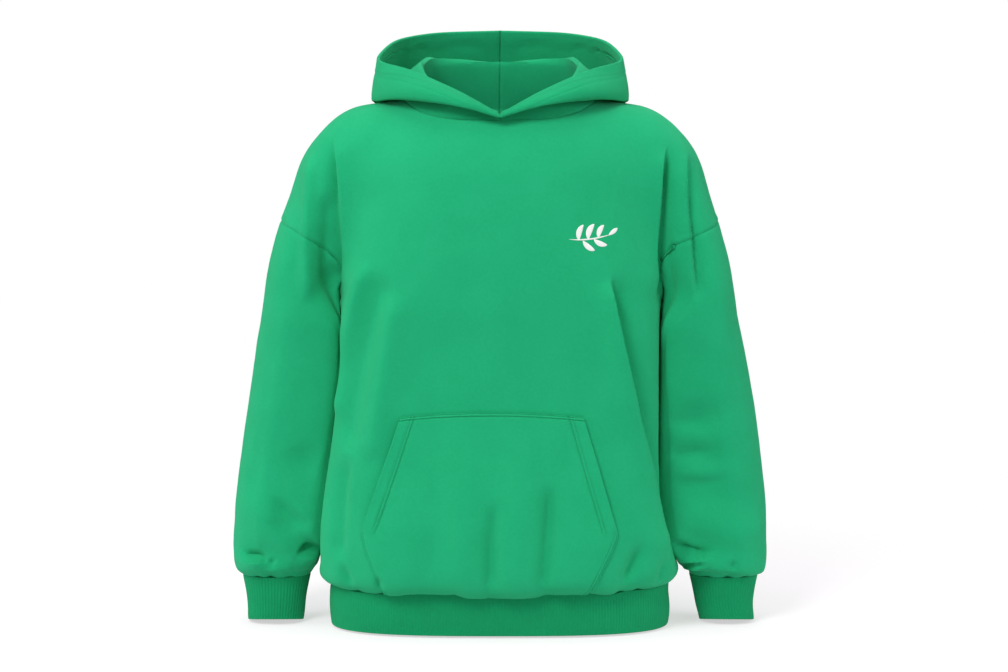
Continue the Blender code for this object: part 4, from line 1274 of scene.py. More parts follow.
@dataclass
class Sheet:
    """A piece of cloth as rows of outer points from the bottom up, with its outer face outward."""

    points: Points
    closed: bool = False

    def normals(self) -> Points:
        """Directions square to the cloth, outward."""
        up = np.gradient(self.points, axis=0)
        if self.closed:
            across = np.roll(self.points, -1, 1) - np.roll(self.points, 1, 1)
        else:
            across = np.gradient(self.points, axis=1)
        return unit(np.cross(across, up))

    def lengths(self, axis: int) -> Points:
        """How far along the cloth each point lies from the bottom (axis 0) or the first column (axis 1)."""
        steps = np.linalg.norm(np.diff(self.points, axis=axis), axis=-1)
        start = np.zeros_like(steps[:1] if axis == 0 else steps[:, :1])
        return np.concatenate([start, np.cumsum(steps, axis=axis)], axis=axis)

    def away(self, edge: Edge) -> Points:
        """How far along the cloth each point lies from an edge."""
        along = self.lengths(0 if edge in (Edge.BOTTOM, Edge.TOP) else 1)
        if edge is Edge.TOP:
            return along[-1:] - along
        return along[:, -1:] - along if edge is Edge.LAST else along

    def from_sides(self) -> Points:
        """How far along the cloth each point lies from the nearer of its first and last columns."""
        return np.minimum(self.away(Edge.FIRST), self.away(Edge.LAST))

    def pin(self, edge: Edge, curve: Points, reach: float = 0.022) -> None:
        """Move an edge onto its seam, and the cloth beside it by less and less.

        Args:
            edge: the edge.
            curve: the seam's points, one for each of the edge's.
            reach: how far from the edge the cloth moves.
        """
        weight = (1 - smooth(self.away(edge) / reach))[..., None]
        if edge in (Edge.BOTTOM, Edge.TOP):
            row = 0 if edge is Edge.BOTTOM else -1
            self.points = self.points + weight * (curve - self.points[row])[None]
        else:
            row = 0 if edge is Edge.FIRST else -1
            self.points = self.points + weight * (curve - self.points[:, row])[:, None]

    def push(self, height: Points) -> None:
        """Move the cloth out by a height at each point."""
        self.points = self.points + height[..., None] * self.normals()


def placed(name: str, data: bpy.types.ID) -> Piece:
    """A new object in the scene."""
    made = bpy.data.objects.new(name, data)
    bpy.context.scene.collection.objects.link(made)
    return made


def thinned(away: Points, radius: float = 0.0014) -> Points:
    """The share of a cloth's thickness that is left beside a rounded edge."""
    inside = np.clip(1 - away / radius, 0, 1)
    return 0.2 + 0.8 * np.sqrt(1 - inside * inside)


@dataclass
class Shell:
    """Two walls of points with the cloth between them, made into one closed mesh."""

    sheet: Sheet
    inner: Points
    sharp: float = 62.0

    def quads(self) -> tuple[Points, Points, Points]:
        """The faces' points, their places for the texture map, and which faces are inside."""
        rows, columns = self.sheet.points.shape[:2]
        last = columns if self.sheet.closed else columns - 1
        row, col = (a.ravel() for a in np.meshgrid(np.arange(rows - 1), np.arange(last), indexing="ij"))
        size = rows * columns

        def corner(r: Points, c: Points, wall: int) -> tuple[Points, Points]:
            """A face's corner: its point, and its place for the texture map."""
            return wall * size + r * columns + c % columns, r * (columns + 1) + c

        outer = ((row, col), (row, col + 1), (row + 1, col + 1), (row + 1, col))
        along, up = np.arange(last), np.arange(rows - 1)
        top, end = np.full(last, rows - 1), np.full(rows - 1, columns - 1)
        rims = [((0 * along, along + 1), (0 * along, along)), ((top, along), (top, along + 1))]
        if not self.sheet.closed:
            rims += [((up, 0 * up), (up + 1, 0 * up)), ((up + 1, end), (up, end))]
        walls = [[(*spot, 0) for spot in outer], [(*spot, 1) for spot in reversed(outer)]]
        walls += [[(*first, 0), (*second, 0), (*second, 1), (*first, 1)] for first, second in rims]
        faces, places = (
            [np.stack([corner(*spot)[i] for spot in wall], axis=1) for wall in walls] for i in (0, 1)
        )
        inside = [np.full(len(face), int(i == 1)) for i, face in enumerate(faces)]
        return np.concatenate(faces), np.concatenate(places), np.concatenate(inside)

    def build(self, name: str, materials: list[Material], **values: Points) -> Piece:
        """Make the mesh.

        Args:
            name: the piece's name.
            materials: the finish of the outer face, and of the inner one where it differs.
            values: named numbers for each point of the sheet, kept on the mesh.

        Returns:
            The piece.
        """
        outer = self.sheet.points
        rows, columns = outer.shape[:2]
        faces, places, inside = self.quads()
        mesh = bpy.data.meshes.new(name)
        points = np.concatenate([outer.reshape(-1, 3), self.inner.reshape(-1, 3)])
        mesh.from_pydata(points.tolist(), [], faces.tolist())
        wide, tall = self.sheet.lengths(1), self.sheet.lengths(0)
        wide = np.concatenate([wide, 2 * wide[:, -1:] - wide[:, -2:-1]], axis=1)
        tall = np.concatenate([tall, tall[:, -1:]], axis=1)
        wide = wide - wide[:, [columns // 2]]
        layer = mesh.uv_layers.new(name="cloth")
        spots = np.stack([wide.ravel(), tall.ravel()], axis=1)[places.ravel()]
        layer.data.foreach_set("uv", spots.astype(np.float32).ravel())
        for key, value in values.items():
            kept = mesh.attributes.new(key, "FLOAT", "POINT")
            both = np.broadcast_to(value, (rows, columns)).ravel()
            kept.data.foreach_set("value", np.concatenate([both, both]).astype(np.float32))
        for finish in materials:
            mesh.materials.append(finish)
        mesh.polygons.foreach_set("material_index", np.minimum(inside, len(materials) - 1).astype(np.int32))
        mesh.shade_smooth()
        mesh.set_sharp_from_angle(angle=math.radians(self.sharp))
        mesh.validate()
        return placed(name, mesh)


# ---- finishes


@dataclass
class Graph:
    """A node tree that is being wired up."""

    tree: bpy.types.NodeTree

    def add(self, kind: str, settings: dict | None = None, **inputs: object) -> bpy.types.Node:
        """Add a node.

        Args:
            kind: the node's type.
            settings: properties of the node.
            inputs: as feed() takes them.

        Returns:
            The new node.
        """
        node = self.tree.nodes.new(kind)
        for key, value in (settings or {}).items():
            setattr(node, key, value)
        self.feed(node, **inputs)
        return node

    def feed(self, node: bpy.types.Node, **inputs: object) -> None:
        """Set or wire the inputs of a node.

        Args:
            node: the node.
            inputs: sockets by name (with _ for a blank) or i0, i1, and a value or another node's socket.
        """
        for key, value in inputs.items():
            numbered = key[0] == "i" and key[1:].isdigit()
            socket = node.inputs[int(key[1:])] if numbered else node.inputs[key.replace("_", " ")]
            if isinstance(value, Socket):
                self.tree.links.new(value, socket)
            else:
                socket.default_value = value

    def math(self, operation: str, first: object, second: object = 0.0, third: object = 0.0) -> Socket:
        """One step of arithmetic."""
        return self.add("ShaderNodeMath", {"operation": operation}, i0=first, i1=second, i2=third).outputs[0]

    def span(self, value: Socket, low: float, high: float) -> Socket:
        """A value between 0 and 1 moved to a range."""
        return self.add("ShaderNodeMapRange", Value=value, i3=low, i4=high).outputs[0]

    def colour(self, share: Socket, dark: Triple, light: Triple) -> Socket:
        """A colour between two."""
        both = {"i6": (*dark, 1), "i7": (*light, 1)}
        return self.add("ShaderNodeMix", {"data_type": "RGBA"}, i0=share, **both).outputs[2]


def new_material(name: str) -> tuple[Material, Graph, bpy.types.Node]:
    """A node material, its graph and its shader."""
    made = bpy.data.materials.new(name)
    made.use_nodes = True
    return made, Graph(made.node_tree), made.node_tree.nodes["Principled BSDF"]


@dataclass(frozen=True)
class KnitFinish:
    """A knitted cloth: its colours, the pitch of its loops and its bloom."""

    slot: str
    light: Triple
    dark: Triple
    wale: float
    course: float
    relief: float
    fuzz: float
    sheen: float
    roughness: float = 0.88

    def material(self, name: str) -> Material:
        """The cloth as a node material.

        Args:
            name: the material's name.

        Returns:
            The material.
        """
        made, g, shader = new_material(name)
        place = g.add("ShaderNodeTexCoord").outputs["Object"]
        spot = g.add("ShaderNodeSeparateXYZ", Vector=g.add("ShaderNodeUVMap", {"uv_map": "cloth"}).outputs[0])
        across = g.math("MULTIPLY", spot.outputs[0], 2 * math.pi / self.wale)
        upward = g.math("MULTIPLY", spot.outputs[1], 2 * math.pi / self.course)
        leg = g.math("ABSOLUTE", g.math("SINE", across))
        loop = g.math("SINE", g.math("ADD", upward, g.math("MULTIPLY", leg, 2.2)))
        knit = g.math("MULTIPLY_ADD", loop, 0.3, g.math("MULTIPLY", leg, 0.7))
        nap, tuft, cloud = (
            g.add("ShaderNodeTexNoise", Vector=place, Scale=scale, Detail=detail, Roughness=rough).outputs[0]
            for scale, detail, rough in ((self.fuzz, 3.0, 0.62), (260.0, 3.0, 0.6), (21.0, 4.0, 0.55))
        )
        tone = g.math("MULTIPLY_ADD", tuft, 0.55, g.math("MULTIPLY", knit, 0.10))
        tone = g.math("MULTIPLY_ADD", cloud, 0.50, tone)
        tone = g.math("MULTIPLY_ADD", nap, 0.28, g.math("SUBTRACT", tone, 0.20))
        height = g.math("MULTIPLY_ADD", nap, 0.8, g.math("MULTIPLY_ADD", tuft, 0.9, knit))
        surface = g.add("ShaderNodeBump", Strength=0.6, Distance=self.relief, Height=height)
        g.feed(
            shader,
            Base_Color=g.colour(tone, self.dark, self.light),
            Roughness=g.span(tuft, self.roughness - 0.06, self.roughness + 0.08),
            Normal=surface.outputs[0],
            Sheen_Weight=self.sheen,
            Sheen_Roughness=0.55,
            Sheen_Tint=(0.22, 0.90, 0.52, 1),
            Specular_IOR_Level=0.10,
        )
        return made


@dataclass(frozen=True)
class PlainFinish:
    """Thread or print: one colour with a little unevenness."""

    slot: str
    light: Triple
    dark: Triple
    grain: float
    relief: float
    roughness: float

    def material(self, name: str) -> Material:
        """The finish as a node material.

        Args:
            name: the material's name.

        Returns:
            The material.
        """
        made, g, shader = new_material(name)
        place = g.add("ShaderNodeTexCoord").outputs["Object"]
        grain = g.add("ShaderNodeTexNoise", Vector=place, Scale=self.grain, Detail=3.0).outputs[0]
        surface = g.add("ShaderNodeBump", Strength=0.5, Distance=self.relief, Height=grain)
        g.feed(
            shader,
            Base_Color=g.colour(grain, self.dark, self.light),
            Normal=surface.outputs[0],
            Roughness=self.roughness,
            Specular_IOR_Level=0.25,
        )
        return made


FLEECE = KnitFinish(
    "fleece", (0.018, 0.452, 0.200), (0.006, 0.345, 0.140), 0.0013, 0.0011, 0.00022, 1500.0, 0.20
)
BRUSHED = KnitFinish(
    "fleece", (0.012, 0.430, 0.180), (0.005, 0.290, 0.112), 0.0016, 0.0012, 0.0005, 900.0, 0.14
)
HOOD_FLEECE = KnitFinish(
    "hood_fleece", (0.014, 0.405, 0.172), (0.006, 0.310, 0.122), 0.0013, 0.0011, 0.00022, 1500.0, 0.20
)
RIB = KnitFinish("rib", (0.007, 0.325, 0.128), (0.003, 0.235, 0.085), 0.0031, 0.0012, 0.00025, 1300.0, 0.12)
# Thread in the cloth's green, darker than the fleece: partly its own colour, partly painted shade for the thin shadow
# lines along the stitched seams.
THREAD_WITH_SEAM_SHADE = PlainFinish("thread", (0.016, 0.340, 0.140), (0.008, 0.250, 0.096), 2600.0, 0.00008, 0.62)
PRINT = PlainFinish("print", (0.90, 0.91, 0.89), (0.80, 0.81, 0.79), 1400.0, 0.00012, 0.70)

# ---- what repeats: ribs and stitches


def settled(piece: Piece) -> None:
    """Turn a piece's modifiers into its plain mesh."""
    evaluated = piece.evaluated_get(bpy.context.evaluated_depsgraph_get())
    mesh = bpy.data.meshes.new_from_object(evaluated)
    mesh.name = piece.name
    old = piece.data
    piece.modifiers.clear()
    piece.data = mesh
    bpy.data.meshes.remove(old)


class NodeTool:
    """A geometry node tree with named inputs, used as a modifier and then made plain."""

    def __init__(self, name: str, **inputs: tuple[str, float]) -> None:
        """Make the tree's inputs and its ends.

        Args:
            name: the tree's name.
            inputs: name and value of each number.
        """
        self.tree = bpy.data.node_groups.new(name, "GeometryNodeTree")
        face = self.tree.interface
        face.new_socket(name="Geometry", in_out="INPUT", socket_type="NodeSocketGeometry")
        face.new_socket(name="Geometry", in_out="OUTPUT", socket_type="NodeSocketGeometry")
        self.names = {}
        for key, value in inputs.items():
            socket = face.new_socket(name=key, in_out="INPUT", socket_type="NodeSocketFloat")
            socket.default_value = value
            self.names[key] = socket.identifier
        finish = face.new_socket(name="Finish", in_out="INPUT", socket_type="NodeSocketMaterial")
        self.names["Finish"] = finish.identifier
        self.graph = Graph(self.tree)
        self.start = self.tree.nodes.new("NodeGroupInput").outputs
        self.end = self.tree.nodes.new("NodeGroupOutput")

    def close(self, geometry: Socket) -> None:
        """Realize what the tree made, give it its finish and end the tree."""
        real = self.graph.add("GeometryNodeRealizeInstances", Geometry=geometry)
        finish = self.start["Finish"]
        dressed = self.graph.add("GeometryNodeSetMaterial", Geometry=real.outputs[0], Material=finish)
        self.tree.links.new(dressed.outputs[0], self.end.inputs[0])

    def use(self, piece: Piece, finish: Material, **values: float) -> None:
        """Run the tree on a piece and keep the result as its plain mesh.

        Args:
            piece: the piece that the tree works on.
            finish: the material that it gives.
            values: numbers for its named inputs.
        """
        modifier = piece.modifiers.new(self.tree.name, "NODES")
        modifier.node_group = self.tree
        modifier[self.names["Finish"]] = finish
        for key, value in values.items():
            modifier[self.names[key]] = value
        settled(piece)


class RibTool(NodeTool):
    """Raises the ribs of a band: the mesh says where each rib lies and how strong it is."""

    level = 0.65  # the share of a rib's height that the band's own face stands for

    def __init__(self) -> None:
        """Wire the tree: a rounded ridge for each rib with a narrow groove between two."""
        super().__init__("ribs", Depth=0.0005, Roundness=0.7)
        g = self.graph
        place, strength = (
            g.add("GeometryNodeInputNamedAttribute", {"data_type": "FLOAT"}, Name=name).outputs[0]
            for name in ("rib", "rib_strength")
        )
        ridge = g.math("ABSOLUTE", g.math("COSINE", g.math("MULTIPLY", place, math.pi)))
        ridge = g.math("POWER", ridge, self.start["Roundness"])
        depth = g.math("MULTIPLY", strength, self.start["Depth"])
        height = g.math("MULTIPLY", g.math("SUBTRACT", ridge, self.level), depth)
        normal = g.add("GeometryNodeInputNormal").outputs[0]
        offset = g.add("ShaderNodeVectorMath", {"operation": "SCALE"}, i0=normal, Scale=height)
        band = self.start["Geometry"]
        moved = g.add("GeometryNodeSetPosition", Geometry=band, Offset=offset.outputs[0])
        self.close(moved.outputs[0])


class StitchTool(NodeTool):
    """Lays a stitch on every step of a sewn line."""

    def __init__(self) -> None:
        """Wire the tree: the line is divided, and each point gets a rounded stitch along it."""
        super().__init__("stitches", Pitch=0.0030, Length=0.0023, Width=0.0007, Height=0.0005)
        g = self.graph
        line = g.add("GeometryNodeMeshToCurve", Mesh=self.start["Geometry"])
        by_length, pitch = {"mode": "LENGTH"}, self.start["Pitch"]
        points = g.add("GeometryNodeCurveToPoints", by_length, Curve=line.outputs[0], Length=pitch)
        bead = g.add("GeometryNodeMeshUVSphere", Segments=6, Rings=4, Radius=0.5)
        sizes = {axis: self.start[name] for axis, name in zip("XYZ", ("Length", "Width", "Height"))}
        size = g.add("ShaderNodeCombineXYZ", **sizes)
        turn = g.add("FunctionNodeAlignRotationToVector", {"axis": "X"}, Vector=points.outputs["Tangent"])
        ends = {"Points": points, "Instance": bead, "Rotation": turn, "Scale": size}
        parts = {name: node.outputs[0] for name, node in ends.items()}
        laid = g.add("GeometryNodeInstanceOnPoints", **parts)
        self.close(laid.outputs[0])


# ---- pieces


def notched(p: Points, away: Points, notches: tuple[Notch, ...]) -> Points:
    """How deep the creases of a gathered seam are at each point.

    Args:
        p: points of the cloth.
        away: how far each lies from the seam.
        notches: the creases.

    Returns:
        The height, under 0 in a crease.
    """
    height = np.zeros(p.shape[:-1])
    for notch in notches:
        depth = NOTCH_SHARE * (np.sign(p[..., 1]) == int(notch.face)) * notch.depth
        across = p[..., 0] - notch.x - notch.drift * away
        height -= depth * bump(across, NOTCH_WIDTH + NOTCH_SPREAD * away) * np.exp(-away / notch.length)
    return height


CLEAR = 0.012  # how far from a seam the cloth's unevenness sets in


def groove(away: Points, depth: float = 0.0010, width: float = 0.0016) -> Points:
    """The dip of cloth beside a seam."""
    return -depth * bump(away, width)


@dataclass
class Dresser:
    """What every piece needs: the finishes and the tools for ribs and stitches."""

    fleece: Material
    brushed: Material
    hood: Material
    rib: Material
    thread: Material
    printed: Material
    ribs: RibTool
    stitches: StitchTool

    def wear(self, piece: Piece, slot: str, nodes: tuple[str, ...] = ()) -> None:
        """Hang a finished piece on the hoodie's body.

        Args:
            piece: the piece.
            slot: the record's material slot.
            nodes: the solids that it stands for.
        """
        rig.ride(piece, "root")
        if nodes:
            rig.replaces(piece, *nodes)
        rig.slot(piece, slot)
        log.info("%s: %d faces", piece.name, len(piece.data.polygons))


@dataclass
class Fleece:
    """A piece of the brushed jersey, sewn in at its edges: common to the panels and the sleeves."""

    name: str
    cloth: float = 0.0024

    def sheet(self) -> Sheet:
        """The outer face with folds, on its seams: overridden for each piece."""
        raise NotImplementedError

    def detail(self, sheet: Sheet) -> None:
        """Add unevenness, gathers and the dips of the seams: overridden for each piece."""
        raise NotImplementedError

    def make(self, kit: Dresser) -> tuple[Piece, Sheet]:
        """Make the piece.

        Args:
            kit: finishes and tools.

        Returns:
            The piece and its outer face.
        """
        sheet = self.sheet()
        self.detail(sheet)
        shell = Shell(sheet, sheet.points - self.cloth * sheet.normals())
        piece = shell.build(self.name + "_cloth", [kit.fleece, kit.brushed])
        kit.wear(piece, FLEECE.slot, (self.name,))
        return piece, sheet


@dataclass
class Panel(Fleece):
    """The front or the back, hem to shoulder."""

    face: Face = Face.FRONT
    step: float = 0.0042
    fine: Triple = (0.0014, 0.055, 0.200)
    spread_rounds: int = 400
    settle_rounds: int = 30
    armpit_rows: int = 5
    armpit_space: float = 0.009
    belly: float = 0.06
    waves: tuple[Wave, ...] = (Wave(0.0011, 0.060, 2.2), Wave(0.00045, 0.022, 1.8), Wave(0.00016, 0.009))
    lobes: Wave = Wave(0.0016, 0.030, 40)

    def evened(self, grid: Points) -> Points:
        """A sheet's inner points moved half way to the middle of their neighbours, with its rows' spacing."""
        rise = np.linalg.norm(np.diff(grid[:, 0], axis=0), axis=1)
        below, above = rise[:-1, None, None], rise[1:, None, None]
        upward = (grid[:-2, 1:-1] * above + grid[2:, 1:-1] * below) / (below + above)
        middle = (upward + (grid[1:-1, :-2] + grid[1:-1, 2:]) / 2) / 2
        return 0.5 * middle + 0.5 * grid[1:-1, 1:-1]

    def spaced(self, points: Points, seam: Points, side: Side, room: float) -> Points:
        """Points kept at least some way from the lower end of the armhole, along the cloth.

        Args:
            points: a column of points, from the armpit up.
            seam: the armhole.
            side: the armhole's side.
            room: how far from the armpit they stay, less and less further up.

        Returns:
            The points, moved where they were nearer.
        """
        run = np.gradient(seam, axis=0)[: self.armpit_rows]
        away = points[:, None] - seam[: self.armpit_rows]
        row = np.linalg.norm(away, axis=-1).argmin(1)
        normal, _ = FORM.outward(points)
        across = unit(np.cross(normal, run[row]))
        across *= np.where(across @ np.array([-side, 0, -0.7]) < 0, -1, 1)[:, None]
        gap = (away[np.arange(len(points)), row] * across).sum(1)
        room = room * np.linspace(1, 0.1, len(points))
        return points + np.clip(room - gap, 0, room)[:, None] * across

    def coarse(self) -> Points:
        """The panel's points on the form, before folds, in rows from the hem up, left to right."""
        cells = PATTERN.side_cells
        bottom = FORM.body.half_ring(self.face, HEM_SEAM, PATTERN.body_cells)
        (left, neck, right), sides = PATTERN.edges(self.face)
        sides = [np.concatenate([side, armhole[1:]]) for side, armhole in sides]
        top = np.concatenate([left, neck[1:-1], right])
        bottom[0], bottom[-1] = sides[0][0], sides[1][0]
        s = np.linspace(0, 1, len(bottom))[None, :, None]
        t = np.linspace(0, 1, len(sides[0]))[:, None, None]
        across = (1 - s) * sides[0][:, None] + s * sides[1][:, None]
        upward = (1 - t) * bottom[None] + t * top[None]
        low, high = ((1 - s) * row[0] + s * row[-1] for row in (bottom, top))
        grid = across + upward - ((1 - t) * low + t * high)
        for _ in range(self.spread_rounds):
            grid[1:-1, 1:-1] = self.evened(grid)
        rows, columns = (np.sin(np.linspace(0, math.pi, count)) for count in grid.shape[:2])
        grid[..., 1] += int(self.face) * self.belly * rows[:, None] * columns
        grid[1:-1, 1:-1] = FORM.settle(grid[1:-1, 1:-1], rounds=8)
        armpit = slice(cells, cells + self.armpit_rows)
        for _ in range(self.settle_rounds):
            grid[1:-1, 1:-1] = FORM.settle(self.evened(grid), rounds=1)
            for side, edge, first in zip(Side, sides, (1, -2)):
                for step in range(3):
                    points = grid[armpit, first - side * step]
                    points[:] = self.spaced(points, edge[cells:], side, self.armpit_space * (step + 1))
        grid[1:-1, 1:-1] = FORM.settle(grid[1:-1, 1:-1])
        return grid

    def sheet(self) -> Sheet:
        """The panel's outer face with folds, on its seams."""
        grid = self.coarse()
        rows, columns = stations(grid, 0, self.step), stations(grid, 1, self.step, fine=self.fine)
        points = refine(grid, rows, columns)
        top, sides = PATTERN.edges(self.face)
        top, sides = joined(top, columns), [joined(side, rows) for side in sides]
        bottom = spline(FORM.body.half_ring(self.face, HEM_SEAM, PATTERN.body_cells), columns)
        if self.face is Face.BACK:
            points, top, bottom, sides = points[:, ::-1], top[::-1], bottom[::-1], sides[::-1]
        sheet = Sheet(points)
        sheet.push(FORM.folds.height(points, Cloth.BODY, sheet.normals()))
        curves = {Edge.FIRST: sides[0], Edge.LAST: sides[1], Edge.TOP: top, Edge.BOTTOM: bottom}
        for edge, curve in curves.items():
            sheet.pin(edge, FORM.folded(curve))
        return sheet

    def detail(self, sheet: Sheet) -> None:
        """Add unevenness, gathers and the dips of the seams."""
        p = sheet.points
        low, top, sides = sheet.away(Edge.BOTTOM), sheet.away(Edge.TOP), sheet.from_sides()
        clear = smooth(np.minimum(np.minimum(low, sides), top) / CLEAR)
        gathers = uneven(p, self.lobes) * bump(low - 0.010, 0.010) + notched(p, low, HEM_NOTCHES)
        above = smooth((p[..., 2] - ARMPIT) / 0.02)
        seams = groove(sides, 0.0006 + 0.0006 * above) + 0.0006 * above * bump(sides - 0.0042, 0.0022)
        seams = seams + groove(low, 0.0008) + groove(top, 0.0009)
        sheet.push(clear * uneven(p, *self.waves) + gathers + seams)
        sheet.points = sheet.points + hem_rise(sheet.points)[..., None] * np.array([0, 0, 1.0])

    def build(self, kit: Dresser) -> Sheet:
        """Make the panel.

        Args:
            kit: finishes and tools.

        Returns:
            The panel's outer face.
        """
        piece, sheet = self.make(kit)
        sleeves = ["sleeve_left_cloth", "sleeve_right_cloth"]
        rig.sheet(piece, flat=(0.62, 0.66), area=0.355, held="draped", rests_on=sleeves)
        return sheet


@dataclass
class Sleeve(Fleece):
    """A sleeve, one piece closed by its seam under the arm."""

    side: Side = Side.LEFT
    step: float = 0.0034
    columns: int = 176
    cells: int = 18
    gather: float = 1.15
    behind_depth: float = 0.0045
    behind_foot: float = -0.285
    behind_rows: int = 6
    waves: tuple[Wave, ...] = (Wave(0.0010, 0.050, 1.8), Wave(0.00045, 0.020, 1.4), Wave(0.00016, 0.009))
    lobes: Wave = Wave(0.0013, 0.020, 40)

    def ring(self, at: Points) -> Points:
        """The folded armhole as a ring, from the armpit round and back."""
        first, second = (Face.BACK, Face.FRONT) if self.side is Side.LEFT else (Face.FRONT, Face.BACK)
        parts = [PATTERN.armhole(self.side, first), PATTERN.armhole(self.side, second)[::-1]]
        return joined(parts, at)

    def coarse(self) -> Points:
        """The sleeve's points on its form, in rows from the cuff seam up, counted round against the clock."""
        around = 2 * PATTERN.armhole_cells
        ring = self.ring(np.arange(around))
        at, sizes, out = FORM.arms.place(ring, self.side)
        start = self.side.inner
        turn = np.arctan2((ring[:, 1] - sizes[:, 4]) / sizes[:, 3], self.side * out / sizes[:, 2])
        turn = start + np.unwrap((turn - start + math.pi) % (2 * math.pi) - math.pi)
        even = start + np.linspace(0, 2 * math.pi, around, endpoint=False)
        t = np.linspace(0, 1, self.cells + 1)[:, None]
        rows = CUFF_SEAM + (at - CUFF_SEAM) * t**self.gather
        grid = FORM.arms.point(rows, even + (turn - even) * t**3, self.side)
        grid[1:-1] = FORM.settle(grid[1:-1], Cloth.SLEEVE)
        grid[-1] = ring
        return grid

    def sheet(self) -> Sheet:
        """The sleeve's outer face with folds, on its seams."""
        grid = self.coarse()
        at = np.arange(self.columns) * (2 * PATTERN.armhole_cells / self.columns)
        even = self.side.inner + np.linspace(0, 2 * math.pi, self.columns, endpoint=False)
        sheet = Sheet(refine(grid, stations(grid, 0, self.step), at, closed=True), closed=True)
        sheet.push(FORM.folds.height(sheet.points, Cloth.SLEEVE, sheet.normals()))
        sheet.points = self.behind(FORM.beside_body(sheet.points), sheet.normals())
        sheet.pin(Edge.TOP, FORM.folded(self.ring(at)), reach=0.018)
        sheet.pin(Edge.BOTTOM, FORM.arms.point(np.full(self.columns, CUFF_SEAM), even, self.side))
        return sheet

    def behind(self, points: Points, normal: Points) -> Points:
        """The cloth by the armpit moved in, where the front or the back lies over it."""
        high = smooth((points[..., 2] - self.behind_foot) / 0.015)
        for face in Face:
            seam = PATTERN.armhole(self.side, face)[: self.behind_rows]
            edge = np.interp(points[..., 2], seam[:, 2], np.abs(seam[:, 0]))
            under = smooth((edge - np.abs(points[..., 0])) / 0.007) * (int(face) * points[..., 1] > 0)
            points = points - (self.behind_depth * under * high)[..., None] * normal
        return points

    def detail(self, sheet: Sheet) -> None:
        """Add unevenness, gathers at the cuff and the dips of the seams."""
        p = sheet.points
        low, top = sheet.away(Edge.BOTTOM), sheet.away(Edge.TOP)
        clear = smooth(np.minimum(low, top) / CLEAR)
        gathers = uneven(p, self.lobes) * bump(low - 0.008, 0.008) + notched(p, low, CUFF_NOTCHES)
        around = np.arange(self.columns) / self.columns
        under = np.minimum(around, 1 - around) * sheet.lengths(1)[:, -1:]
        seams = groove(low, 0.0008) + groove(top, 0.0010, 0.0018) + groove(under, 0.0007)
        sheet.push(clear * uneven(p, *self.waves) + gathers + seams)

    def build(self, kit: Dresser) -> None:
        """Make the sleeve."""
        piece, _ = self.make(kit)
        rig.sheet(piece, flat=(0.44, 0.50), area=0.180, held="hung", rests_on=["front_cloth", "back_cloth"])


@dataclass
class Band:
    """A ribbed band, folded double: common to the cuffs and the hem band."""

    name: str
    columns: int
    per_rib: int = 6
    rows: int = 16
    cloth: float = 0.0028
    depth: float = 0.0004
    sway: Wave = Wave(0.0014, 0.055, 0.7)
    flat: Pair = (1.10, 0.052)

    def ring(self, t: float) -> Points:
        """The band's ring at a share of its height: overridden for each band."""
        raise NotImplementedError

    def sheet(self) -> Sheet:
        """The band's outer face, its ribs not yet raised, from the folded edge up."""
        t = np.concatenate([[0, 0.008, 0.02, 0.04], np.linspace(0.08, 0.96, self.rows - 6), [0.985, 1.0]])
        return Sheet(np.array([self.ring(share) for share in t]), closed=True)

    def build(self, kit: Dresser) -> None:
        """Make the band and raise its ribs.

        Args:
            kit: finishes and tools.
        """
        sheet = self.sheet()
        low, top = sheet.away(Edge.BOTTOM), sheet.away(Edge.TOP)
        inner_room = smooth(low / 0.010) * smooth(top / 0.012)
        sheet.push(uneven(sheet.points, self.sway) * inner_room + groove(top, 0.0006))
        normal = sheet.normals()
        wall = self.cloth * thinned(low)
        outer = sheet.points - ((self.cloth - wall) / 2)[..., None] * normal
        shell = Shell(Sheet(outer, closed=True), outer - wall[..., None] * normal)
        rib = np.arange(self.columns) / self.per_rib
        strength = smooth(top / 0.004) * (0.35 + 0.65 * smooth(low / 0.003))
        piece = shell.build(self.name + "_cloth", [kit.rib], rib=rib[None, :], rib_strength=strength)
        kit.ribs.use(piece, kit.rib, Depth=self.depth)
        piece.data.shade_smooth()
        kit.wear(piece, RIB.slot, (self.name,))
        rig.sheet(piece, flat=self.flat, held="folded", rests_on=[])


@dataclass
class HemBand(Band):
    """The ribbed band round the hem."""

    @cache
    def seam(self) -> Points:
        """The hem seam as an even ring from the left side round the front."""
        half = self.columns // 2
        front = FORM.body.half_ring(Face.FRONT, HEM_SEAM, half)
        back = FORM.body.half_ring(Face.BACK, HEM_SEAM, half)[::-1]
        return np.concatenate([front[:-1], back[:-1]])

    def __hash__(self) -> int:
        """Bands are told apart by name."""
        return hash(self.name)

    def ring(self, t: float) -> Points:
        """The band's ring at a share of its height."""
        seam = self.seam()
        z = np.full(len(seam), HEM + (HEM_SEAM - HEM) * t)
        half, deep, _ = FORM.body.sizes(seam[:, 0], seam[:, 1], z)
        seam_half, seam_deep, _ = FORM.body.sizes(seam[:, 0], seam[:, 1], seam[:, 2])
        ring = np.stack([seam[:, 0] * half / seam_half, seam[:, 1] * deep / seam_deep, z], axis=1)
        ring[:, 2] += hem_rise(ring)
        return ring


@dataclass
class Cuff(Band):
    """A ribbed cuff."""

    side: Side = Side.LEFT
    dip: float = 0.20
    ring_points: int = 721

    def ring(self, t: float) -> Points:
        """The cuff's ring at a share of its height."""
        angle = self.side.inner + np.linspace(0, 2 * math.pi, self.ring_points)
        at = np.full(self.ring_points, CUFF_END + (CUFF_SEAM - CUFF_END) * t)
        ring = evenly(FORM.arms.point(at, angle, self.side), self.columns)[:-1]
        middle = ring.mean(0)
        ring[:, 2] = middle[2] + t * (ring[:, 2] - middle[2])
        ring[:, 2] += self.dip * (1 - t) * np.maximum(middle[1] - ring[:, 1], 0)
        return ring


